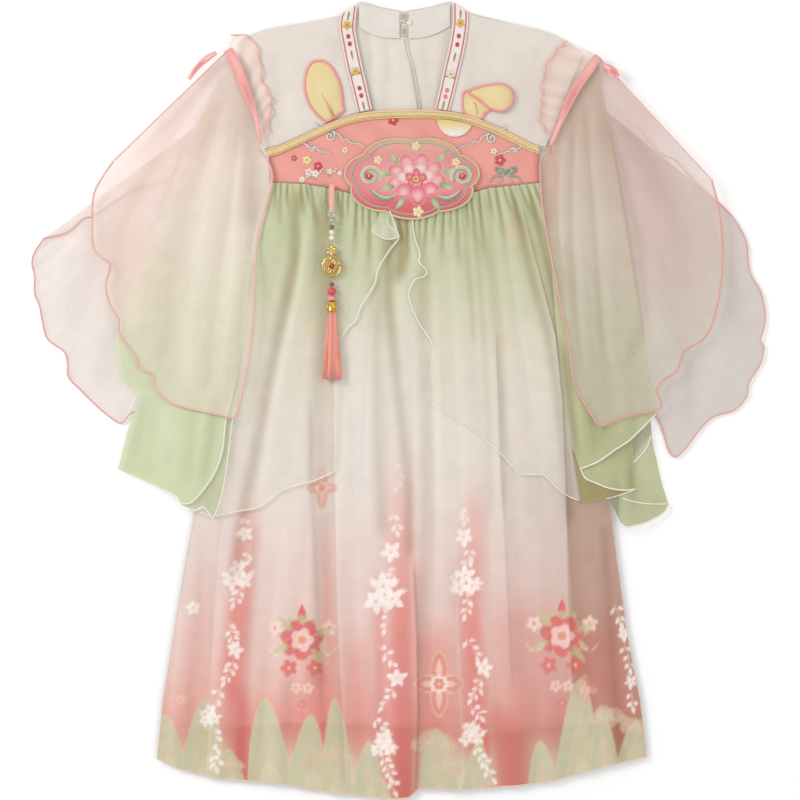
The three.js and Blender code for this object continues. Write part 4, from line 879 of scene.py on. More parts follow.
def vine(rows, seed):
    r = np.random.RandomState(seed)
    for kind, px, py_, sz, px2, py2 in rows:
        x, y = px - 398.0, 400.0 - py_
        fade = 0.5 + 0.36 * float(sm((py_ - 470) / 60))
        if kind == "s":
            spray(x, y, px2 - 398.0, 400.0 - py2, int(sz), r, fade)
        elif kind == "b":
            bloom(x, y, sz, r.uniform(0, 6), fade + 0.04)
        else:
            cluster(x, y, sz, r, fade)
vine([("s", 246, 517, 2, 242, 527), ("b", 245, 534, 8, 0, 0), ("s", 250, 545, 3, 243, 564), ("c", 238, 576, 12, 0, 0), ("s", 240, 588, 2, 234, 602), ("s", 228, 622, 3, 232, 640), ("b", 235, 650, 8.5, 0, 0),
      ("s", 233, 660, 3, 225, 680), ("s", 220, 688, 2, 214, 704), ("c", 210, 716, 9, 0, 0), ("s", 213, 726, 3, 217, 748), ("s", 212, 752, 2, 216, 766)], 11)
vine([("s", 402, 462, 3, 396, 486), ("s", 392, 512, 2, 396, 530), ("b", 391, 552, 10, 0, 0), ("s", 396, 566, 2, 390, 578), ("c", 384, 594, 16, 0, 0), ("s", 388, 612, 2, 385, 628), ("s", 378, 646, 3, 392, 662), ("b", 397, 678, 9.5, 0, 0),
      ("s", 394, 688, 3, 383, 706), ("s", 372, 718, 2, 384, 728), ("c", 384, 744, 11, 0, 0), ("s", 382, 756, 3, 390, 776), ("s", 388, 778, 1, 394, 790)], 12)
vine([("s", 467, 506, 2, 464, 520), ("b", 464, 537, 9, 0, 0), ("s", 470, 548, 3, 466, 564), ("c", 466, 582, 12.5, 0, 0), ("s", 468, 596, 2, 465, 614), ("s", 466, 638, 3, 476, 656), ("b", 484, 668, 9, 0, 0), ("s", 481, 678, 3, 472, 698),
      ("s", 470, 706, 2, 480, 716), ("c", 472, 734, 10.5, 0, 0), ("s", 474, 746, 3, 484, 764), ("s", 484, 766, 1, 492, 778)], 13)
vine([("s", 614, 604, 2, 620, 622), ("b", 624, 634, 7, 0, 0), ("s", 624, 644, 3, 630, 668), ("b", 631, 682, 6.5, 0, 0), ("s", 630, 690, 2, 632, 706)], 14)
# generic peony sprays and quatrefoils
def peony(x, y, s, a=0.8):
    for k in range(7):
        t = 2 * math.pi * k / 7 + 0.2
        P.ellipse(x + 9 * s * math.cos(t), y + 8 * s * math.sin(t), 7.5 * s, 6 * s, t, (216, 106, 104), a)
        P.ellipse(x + 9 * s * math.cos(t), y + 8 * s * math.sin(t), 7.5 * s, 6 * s, t, (238, 196, 170), a * 0.6, ring=0.35)
    for k in range(5):
        t = 2 * math.pi * k / 5
        P.ellipse(x + 4 * s * math.cos(t), y + 4 * s * math.sin(t), 5 * s, 4 * s, t, (240, 204, 196), a)
    P.ellipse(x, y, 3.2 * s, 3.2 * s, 0, (222, 150, 110), a)
    for k, t in enumerate((0.4, 2.3, 3.6, 5.4)):
        P.ellipse(x + 19 * s * math.cos(t), y + 17 * s * math.sin(t), 8 * s, 3.4 * s, t, (196, 188, 140), a * 0.8, tip=0.8)
    for k in (-1, 1):
        q = np.linspace(0, 1, 14)
        P.line(np.column_stack([x + k * (12 + 14 * q) * s, y - (4 + 7 * np.sin(q * 3.0)) * s]), 0.4, (244, 222, 196), a * 0.7)
for bx0, by0, g in ((-96, -240, 1.0), (164, -236, 1.04)):
    for k in (-1, 1):
        P.line([(bx0, by0), (bx0 + k * 14 * g, by0 + 14 * g), (bx0 + k * 25 * g, by0 + 12 * g)], 0.5, (206, 176, 128), 0.7)
        P.line([(bx0, by0 - 10), (bx0 + k * 8 * g, by0 - 30 * g), (bx0 + k * 5 * g, by0 - 46 * g)], 0.5, (206, 176, 128), 0.7)
        for q_, (a_, l_) in enumerate(((0.2, 15), (-0.45, 14), (1.05, 12))):
            P.ellipse(bx0 + k * (15 + l_ * 0.3) * g * math.cos(a_), by0 + (15 + l_ * 0.3) * g * math.sin(a_), l_ * 0.62 * g, 3.4 * g, math.pi - a_ if k < 0 else a_, (190, 188, 146), 0.75, lens=True)
            P.ellipse(bx0 + k * (15 + l_ * 0.3) * g * math.cos(a_), by0 + (15 + l_ * 0.3) * g * math.sin(a_), l_ * 0.62 * g, 3.4 * g, math.pi - a_ if k < 0 else a_, (226, 206, 150), 0.6, ring=0.25, lens=True)
        P.flower(bx0 + k * 27 * g, by0 + 12 * g, 7.5 * g, (242, 212, 200), 0.85, 5, 0.3 * k, (222, 120, 108))
        P.flower(bx0 + k * 13 * g, by0 - 28 * g, 8.5 * g, (220, 104, 102), 0.85, 5, 0.6 * k, (240, 208, 150))
        P.flower(bx0 + k * 6 * g, by0 - 48 * g, 6.0 * g, (240, 200, 188), 0.8, 5, 0.2 * k, (222, 120, 108))
    P.ellipse(bx0, by0 + 27 * g, 9 * g, 5.4 * g, math.pi / 2, (216, 98, 98), 0.85, tip=0.7)
    P.ellipse(bx0, by0 + 27 * g, 9 * g, 5.4 * g, math.pi / 2, (240, 206, 160), 0.6, ring=0.3, tip=0.7)
    P.ellipse(bx0, by0 + 21 * g, 4 * g, 5.6 * g, math.pi / 2, (190, 188, 146), 0.75)
    peony(bx0, by0, 1.35 * g, 0.88)
    P.flower(bx0, by0 - 64 * g, 4.6 * g, (222, 116, 110), 0.75, 5, 0.0, (240, 208, 150))
    P.ellipse(bx0, by0 - 76 * g, 4.2 * g, 2.0 * g, math.pi / 2, (222, 124, 116), 0.65, lens=True)
def quatre(x, y, s, a=0.6):
    for k in range(4):
        t = math.pi / 2 * k
        e = 1.35 if k % 2 else 1.0
        P.ellipse(x + 9 * s * e * math.cos(t), y + 9 * s * e * math.sin(t), 9.5 * s * e, 7.5 * s, t, (224, 138, 124), a * 0.85, tip=0.35)
        P.ellipse(x + 9 * s * e * math.cos(t), y + 9 * s * e * math.sin(t), 9.5 * s * e, 7.5 * s, t, (240, 208, 166), a, ring=0.45, tip=0.35)
        P.ellipse(x + 9 * s * e * math.cos(t), y + 9 * s * e * math.sin(t), 5 * s * e, 3 * s, t, (242, 214, 196), a * 0.8, tip=0.6)
    P.flower(x, y, 7 * s, (246, 228, 212), a, 8)
    P.flower(x, y, 4.5 * s, (222, 116, 106), a, 6)
    P.ellipse(x, y, 1.6 * s, 1.6 * s, 0, (240, 206, 150), a)
for q in ((41, -284, 1.3, 0.85), (-76, -88, 0.85, 0.5), (117, 168, 0.9, 0.3), (187, -290, 0.6, 0.5), (-218, -300, 0.5, 0.5)):
    quatre(*q)
for x, y, r, c_, a in ((-73, 182, 6, (222, 170, 150), 0.3), (-53, 132, 6, (232, 214, 150), 0.5), (-85, 73, 7, (236, 214, 140), 0.6), (107, 60, 6, (232, 196, 160), 0.45),
                       (-205, -208, 7, WHITE, 0.8), (127, -36, 6, (236, 206, 170), 0.4), (-106, -20, 5, (236, 206, 190), 0.35), (72, 130, 5, (230, 200, 160), 0.3)):
    P.flower(x, y, r, c_, a, 5, 0.4, (226, 190, 110))
# lining hem shows as a paler, flatter tone below it
py = 400 - sy
lin_edge = 726 + 5 * np.sin(sx * 0.02)
col = P.c
col = mix(col, (236, 222, 212), 0.10 * (1 - sm((py - lin_edge) / 2)) * sm((py - 600) / 100))
# painted shade deepens the fold troughs and painted highlight lifts the ridges; the sheer cloth doubled in the folds
# gives part of the deeper colour
SHADE_K = np.array((0.135, 0.165, 0.19))
def fold_shade(c, d, k=1.0):
    c = c * (1 - np.clip(d, 0, 1.3)[..., None] * SHADE_K * k)
    return c + (255 - c) * (np.clip(-d, 0, 1) * 0.30 * k)[..., None]
col = fold_shade(col, shade)
col = col * (1 + 0.014 * wob(sx * 1.1 + sy * 0.03, 21, 6, 0.1, 0.6)[..., None])
grid_obj("skirt_front_cloth", np.stack([sx, sy, sz], -1), col, "skirt", sheet=["skirt_lining_cloth"], replaces=["skirt_front"])

b = Batch()
hem = np.stack([sx[-1], sy[-1] + 0.2, sz[-1]], -1)
b.tube(hem[::2], 0.7, (232, 208, 190), n=6)
for i, k in ((0, 1), (NU - 1, -1)):
    b.tube(np.stack([sx[:, i], sy[:, i], sz[:, i] - 0.3], -1)[::4], 0.45, (222, 200, 186), n=6)
b.obj("skirt_hem_roll", "merrow", slot="chiffon_skirt")

def flat_panel(name, u_n, v_n, fn, cfn, mat, rest, rep):
    u, v = np.meshgrid(np.linspace(0, 1, u_n), np.linspace(0, 1, v_n))
    x, y, z = fn(u, v)
    return grid_obj(name, np.stack([x, y, z + 0 * x], -1), cfn(x, y), mat, sheet=rest, replaces=[rep])
def back_fn(u, v):
    x, y = skirt_xy(u, v, 4.0, 1.0)
    return x, y, 0.35 + 0.35 * sm(np.minimum(np.minimum(u, 1 - u) * 30, 1)) + 0.25 * (1 + wob(x * 1.0, 5)) * sm(v)
flat_panel("skirt_back_cloth", 120, 120, back_fn, lambda x, y: ramp(STOPS, 400 - y + 40 * streaks(x, y)), "skirt", ["skirt_lining"], "skirt_back")
def lining_fn(u, v):
    y = 196.5 + (-318 - 10 * np.sin(math.pi * u) - 196.5) * v
    return (sk_l(y) + 8) * (1 - u) + (sk_r(y) - 8) * u, y, 2.2 + 0.2 * wob(u * 300, 9)
flat_panel("skirt_lining_cloth", 60, 80, lining_fn, lambda x, y: ramp([(200, (206, 208, 176)), (400, (232, 224, 214)), (560, (232, 206, 196)), (730, (228, 170, 158))], 400 - y), "cotton", ["skirt_back_cloth"], "skirt_lining")

# --------------------------------------------------------------- overskirt
def spread(pts, n):
    """n points along a smooth line through pts, evenly by length."""
    p = np.array(pts, float)
    rows = [dict(x=q[0], y=q[1]) for q in p]
    d = pts_curve(rows, 12 * len(p))
    L_ = np.r_[0, np.cumsum(np.hypot(*np.diff(d, axis=0).T))]
    t = np.linspace(0, L_[-1], n)
    return np.stack([np.interp(t, L_, d[:, 0]), np.interp(t, L_, d[:, 1])], -1)

OL_EDGE = [(-8, 188), (-10, 176), (1, 164), (-9, 149), (-19.5, 132), (-23, 117), (-31, 103), (-38, 92), (-42, 80), (-53, 69), (-58, 50), (-61, 0), (-62, -40), (-63, -71)]
OL_HEM = [(-193, -111), (-182, -116), (-156, -111), (-140, -108), (-130, -102), (-116, -90), (-98, -84), (-82, -80), (-63, -71)]
OR_EDGE = [(14, 188), (16, 165), (22, 146), (21, 138), (28.5, 130), (27, 124), (16.5, 120), (10.7, 107), (13.5, 94), (21, 77), (28, 67), (35, 53), (33, 36), (29, 8), (33, -3)]
OR_HEM = [(33, -3), (47, -12), (62, -21), (78, -31), (104, -55), (116, -68), (124, -74), (145, -75), (160, -89), (172, -97), (182, -101)]
OR_SIDE = [(143, 212), (148, 170), (153, 120), (157, 70), (160, 50), (166, 13), (171, -30), (174, -54), (179, -82), (182, -101)]
def relief_at(x, y):
    u = (x - sk_l(y)) / (sk_r(y) - sk_l(y))
    v = np.clip((read(WAIST, "u", u, "y") - y) / 590.0, 0, 1)
    return skirt_relief(u, v)
EDGE = Batch()
WHITE_M, PINK_M = (244, 240, 228), (238, 190, 178)
for name, edge, hemr, node, left in (("overskirt_left_cloth", OL_EDGE, OL_HEM, "overskirt_left", True), ("overskirt_right_cloth", OR_EDGE, OR_HEM, "overskirt_right", False)):
    n_, m_ = 170, 180
    u, v = np.meshgrid(np.linspace(0, 1, n_), np.linspace(0, 1, m_))
    topx = np.linspace(-124, edge[0][0], n_) if left else np.linspace(edge[0][0], 142, n_)
    topy = read(WAIST, "u", (topx + 125) / 268, "y") - 0.5
    E_ = spread(edge, m_)
    E_[0, 1] = topy[-1] if left else topy[0]
    A = np.stack([topx, topy], -1)[None] * (1 - v[..., None]) + spread(hemr, n_)[None] * v[..., None]
    if left:
        A = A + (E_ - A[:, -1])[:, None] * (u ** 4)[..., None]
        A = A + (np.stack([sk_l(A[:, 0, 1]) + 3, A[:, 0, 1]], -1) - A[:, 0])[:, None] * ((1 - u) ** 2)[..., None]
    else:
        A = A + (E_ - A[:, 0])[:, None] * ((1 - u) ** 4)[..., None]
        S_ = spread(OR_SIDE, m_)
        S_[0] = A[0, -1]
        A = A + (S_ - A[:, -1])[:, None] * (u ** 2)[..., None]
    x, y = A[..., 0], A[..., 1]
    oh, od = crease_field(x, y, SKIRT_CREASES)
    th2, td2 = tuck_field(x, y)
    z = Z_SKIRT + 2.6 + np.maximum(0.45 * relief_at(x, y) + oh + th2 + 1.2, 0.0) + 0.3 + 0.3 * wob(u * 160, 31, 5, 0.1, 0.5) * v + 0.8 * v ** 4
    # painted shade and highlight from the creases and tucks, with warm ochre painted into the fold troughs
    c = fold_shade(mix(ramp([(190, (199, 205, 166)), (260, (208, 210, 178)), (310, (220, 217, 194)), (350, (228, 221, 206)), (500, (232, 225, 216))], 400 - y), (176, 160, 108), 0.35 * np.clip(od + td2, 0, 1) * sm((y - 20) / 130)), od + td2, 0.7)
    Pn = np.stack([x, y, z], -1)
    grid_obj(name, Pn, c, "over", sheet=["skirt_front_cloth"], replaces=[node])
    EDGE.tube(Pn[-1, ::2] + np.array([0, 0, 0.3]), 0.62, WHITE_M)
    e_ = Pn[::2, -1 if left else 0]
    EDGE.tube(e_ + np.array([0, 0, 0.3]), 0.72, WHITE_M, taper=np.clip(0.25 + 0.75 * sm((e_[:, 1] - (58 if left else 48)) / 14), 0.25, 1))

# the left half's front corner turned back under the badge
u, v = np.meshgrid(np.linspace(0, 1, 24), np.linspace(0, 1, 24))
FC = np.array([[(-17, 189), (-8, 189)], [(-27, 170), (1, 163)]], float)
fx = (FC[0, 0, 0] * (1 - u) + FC[0, 1, 0] * u) * (1 - v) + (FC[1, 0, 0] * (1 - u) + FC[1, 1, 0] * u) * v
fy = (FC[0, 0, 1] * (1 - u) + FC[0, 1, 1] * u) * (1 - v) + (FC[1, 0, 1] * (1 - u) + FC[1, 1, 1] * u) * v - 5.5 * np.sin(u * math.pi) * v ** 2
fz = Z_SKIRT + 5.6 + 0.6 * np.sin(u * 5) * v
Pf = np.stack([fx, fy, fz], -1)
grid_obj("overskirt_fold_cloth", Pf, mix((204, 208, 178), (228, 224, 206), sm(v * 1.2)), "over", sheet=["overskirt_left_cloth"])
EDGE.tube(Pf[-1] + np.array([0, 0, 0.3]), 0.6, WHITE_M)
EDGE.tube(Pf[:, -1] + np.array([0, 0, 0.3]), 0.6, WHITE_M)

# ----------------------------------------------------------------- sleeves
def climb(x, y):
    left = sm((x - (sk_l(y) - RUN)) / RUN)
    right = sm((sk_r(y) + RUN - x) / RUN)
    return RISE * np.where(x < 0, left, right) * sm((175 - y) / 70)

def panel_xy(arm, hem, n, m, inner=None, outer=None, pw=2.2):
    A, H = spread(arm, n), spread(hem, n)
    u, v = np.meshgrid(np.linspace(0, 1, n), np.linspace(0, 1, m))
    Q = A[None] * (1 - v[..., None]) + H[None] * v[..., None]
    if inner is not None:
        Q = Q + (spread(inner, m) - Q[:, -1])[:, None] * (u ** pw)[..., None]
    if outer is not None:
        Q = Q + (spread(outer, m) - Q[:, 0])[:, None] * ((1 - u) ** pw)[..., None]
    return u, v, Q[..., 0], Q[..., 1]

def panel_z(u, v, x, y, low, amp, seed, rows=(), ruffle=0.0):
    h = amp * 0.4 * (0.8 + wob(u * 60, seed + 3, 6, 0.15, 0.6)) * sm((v - 0.08) / 0.6)
    h = h + 0.2 * amp * wob(u * 200, seed + 5, 5, 0.2, 0.9) * v
    h = h + ruffle * (0.5 + 0.5 * wob(u * 100, seed, 5, 0.3, 1.1)) * sm((v - 0.8) / 0.2)
    ch_, d_ = crease_field(x, y, rows, 40.0) if rows else (0.0, np.zeros(x.shape))
    return low + climb(x, y) + np.maximum(h + ch_ * sm(v * 5), 0.0), d_

def shoulder(x, y, sx_, sy_, r):
    return np.exp(-(((x - sx_) / r) ** 2 + ((y - sy_) / r) ** 2))

def arm_of(rows):
    return [(r["ax"], r["ay"]) for r in rows]

def arm_rib(rows):
    return [(r["x"], r["y"]) for r in rows]

L_FRONT_HEM = [(-284, 239), (-295, 223), (-303, 208), (-305.5, 189), (-304.6, 154), (-297, 143), (-288, 135), (-292, 114), (-288, 96), (-279, 80), (-278, 66), (-262, 43),
               (-258, 32), (-245, 26), (-242, 11), (-230, -1), (-213, -7), (-190.5, -12), (-162, -18)]
L_FRONT_INNER = [(-139, 250), (-129, 236), (-126, 217), (-137, 178), (-141.5, 151), (-143, 110), (-145, 73), (-150, 33), (-158, -5), (-162, -18)]
L_BACK_HEM = [(-354.6, 162), (-364, 148), (-366.5, 137), (-364, 123), (-364, 107), (-359, 94), (-356, 78), (-351, 61), (-335, 49), (-331, 38), (-330, 23), (-318, 10), (-305, -3), (-290, -16), (-277, -23), (-267, -13), (-248, -8), (-218, 0)]
L_SLEEVE_HEM = [(-280, -69), (-266, -75), (-250, -82), (-223, -94), (-217, -102), (-208, -103), (-199, -96)]
L_SLEEVE_INNER = [(-139, 252), (-133, 234), (-132, 212), (-142, 178), (-148, 150), (-151, 100), (-160, 30), (-171, -17), (-175, -50), (-184, -75), (-199, -96)]
L_SLEEVE_OUTER = [(-168, 345), (-208, 260), (-248, 160), (-274, 82), (-283, 60), (-276, 20), (-260, 4), (-270, -30), (-280, -69)]
L_UNDER_HEM = [(-276, -67), (-250, -79), (-222, -94), (-216, -104), (-203, -110), (-194, -107), (-184.5, -119)]
L_UNDER_INNER = [(-139, 252), (-135, 220), (-144, 172), (-151, 100), (-157, 40), (-165, -20), (-170, -60), (-176, -95), (-184.5, -119)]
R_FRONT_HEM = [(313, 220), (319, 198), (323, 172), (324, 150), (323, 122), (316, 83), (306, 62), (287, 50), (282, 40), (278, 29), (264, 19), (258, 9), (263, -4), (257, -10), (226, -17), (199, -27)]
R_FRONT_INNER = [(153, 250), (143, 240), (142.5, 215), (144, 195), (148, 170), (154, 136), (162, 95), (170, 58), (175, 20), (186, -4), (194, -17), (199, -27)]
R_BACK_HEM = [(319.5, 199), (330, 189), (340, 176), (349, 158), (351, 138), (354, 124), (363, 109), (368, 86), (366, 70), (363, 60), (366.5, 52), (363, 36), (352, 18), (349, 3), (337, -10), (316, -17), (302, -30), (287, -50), (277, -57), (270, -48), (263, -24), (252, -10)]
R_SLEEVE_HEM = [(258, -14), (242, -30), (230, -41), (216, -50), (200, -61), (181, -69)]
R_SLEEVE_INNER = [(153, 252), (146, 234), (146, 210), (150, 170), (154, 120), (158, 70), (165, 18), (171, -25), (176, -52), (181, -69)]
R_ZIG_TOP = [(234, -32), (212, -40), (192, -45), (180, -50)]
R_ZIG_HEM = [(237, -89), (226, -90), (211, -88), (198, -83), (187, -78), (182.5, -69.5)]
R_ZIG2_TOP = [(232, -70), (206, -68), (174, -50)]
R_ZIG2_HEM = [(236.5, -89.5), (224, -94), (210, -98), (196, -100.5), (182, -102.5)]
R_LOBE_HEM = [(271, -105), (266, -113), (252, -121), (239, -125), (226, -126), (218, -114), (212, -99)]
R_LOBE_OUTER = [(198, 334), (227, 200), (246, 70), (254, -34), (259, -60), (264, -82), (271, -105)]
R_LOBE_INNER = [(153, 253), (164, 180), (177, 70), (190, -20), (202, -70), (212, -99)]
L_CREASES = [
    ([(-166, 314), (-176, 250), (-193, 170), (-206, 80), (-210, -2)], 8, 1.6, -0.5, "ridge"),
    ([(-160, 296), (-168, 220), (-179, 140), (-188, 60), (-192, -8)], 6, 1.2, 0.35, "trough"),
    ([(-154, 280), (-159, 200), (-165, 110), (-172, 30), (-176, -12)], 5, 1.2, -0.3, "ridge"),
    ([(-172, 320), (-192, 260), (-216, 190), (-230, 110), (-236, 20)], 9, 1.3, 0.3, "trough"),
    ([(-177, 325), (-208, 270), (-238, 200), (-257, 120), (-260, 50)], 10, 1.6, -0.35, "ridge"),
    ([(-182, 328), (-222, 275), (-257, 220), (-278, 160), (-284, 100)], 8, 1.2, 0.28, "trough"),
    ([(-145, 250), (-150, 180), (-154, 100), (-160, -12)], 4, 1.0, 0.35, "trough"),
    ([(-184, 334), (-228, 285), (-273, 235), (-294, 185)], 9, 1.2, -0.3, "ridge"),
    ([(-136, 240), (-142, 200), (-148, 140)], 5, 0.8, 0.3, "trough"),
]
R_CREASES = [
    ([(192, 314), (198, 240), (206, 160), (212, 80), (215, 22)], 8, 1.8, -0.55, "ridge"),
    ([(186, 304), (192, 220), (198, 150), (203, 80), (208, 28)], 4, 1.4, 0.55, "trough"),
    ([(182, 296), (180, 230), (182, 150), (186, 70), (192, 0)], 6, 1.4, -0.35, "ridge"),
    ([(176, 292), (172, 220), (172, 150), (178, 70), (184, 8)], 5, 1.3, 0.5, "trough"),
    ([(168, 280), (164, 210), (164, 140), (171, 70)], 4.5, 1.2, -0.35, "ridge"),
    ([(159, 250), (158, 200), (162, 138), (168, 80)], 4, 1.2, 0.45, "trough"),
    ([(203, 300), (224, 230), (242, 150), (247, 90), (236, 50), (219, 20)], 6, 1.3, 0.4, "trough"),
    ([(206, 304), (236, 230), (258, 150), (264, 70), (254, 20)], 9, 1.4, -0.25, "ridge"),
    ([(210, 308), (254, 230), (284, 160), (292, 90)], 9, 1.1, 0.25, "trough"),
    ([(212, 314), (262, 260), (298, 200), (308, 140)], 9, 1.0, -0.2, "ridge"),
]
LB_CREASES = [
    ([(-228, 240), (-288, 170), (-318, 110), (-326, 50)], 10, 1.2, 0.25, "trough"),
    ([(-238, 240), (-308, 180), (-340, 130), (-346, 80)], 10, 1.2, -0.3, "ridge"),
    ([(-218, 230), (-268, 130), (-292, 50), (-294, -5)], 9, 1.2, 0.25, "trough"),
]
RB_CREASES = [
    ([(242, 250), (306, 180), (338, 110), (344, 50)], 10, 1.2, 0.3, "trough"),
    ([(242, 230), (292, 150), (318, 70), (318, 0)], 10, 1.2, -0.25, "ridge"),
    ([(232, 200), (270, 110), (292, 30), (286, -40)], 9, 1.2, 0.3, "trough"),
]
LS_CREASES = [
    ([(-198, 20), (-208, -30), (-212, -98)], 7, 1.2, 0.3, "trough"),
    ([(-222, 20), (-232, -30), (-240, -84)], 9, 1.2, -0.3, "ridge"),
    ([(-180, 20), (-186, -30), (-194, -90)], 5, 1.2, 0.5, "trough"),
    ([(-248, 10), (-258, -30), (-264, -74)], 6, 0.9, 0.15, "trough"),
]
RS_CREASES = [
    ([(188, 70), (192, 0), (194, -62)], 6, 1.4, 0.5, "trough"),
    ([(204, 70), (206, 0), (203, -56)], 6, 1.4, 0.3, "trough"),
    ([(222, 60), (225, 0), (222, -46)], 7, 1.2, -0.4, "ridge"),
    ([(162, 70), (169, 15), (175, -30), (179, -66)], 4.5, 1.2, 1.0, "trough"),
    ([(242, 20), (246, -40), (254, -100)], 6, 1.4, -0.3, "ridge"),
    ([(232, -40), (233, -80), (236, -120)], 4, 1.4, 0.7, "trough"),
    ([(218, -70), (220, -100), (224, -124)], 4, 1.2, 0.5, "trough"),
]

def layer(name, nodes, xy, low, amp, seed, rows, cfn, mat, rest, ruffle=0.0, k=0.8):
    u, v, x, y = xy
    z, d = panel_z(u, v, x, y, low, amp, seed, rows, ruffle)
    # painted shade in the crease troughs and painted highlight on the ridges
    c = fold_shade(cfn(x, y, u, v), d, k)
    Pn = np.stack([x, y, z], -1)
    grid_obj(name, Pn, c, mat, sheet=[rest], replaces=nodes)
    return Pn

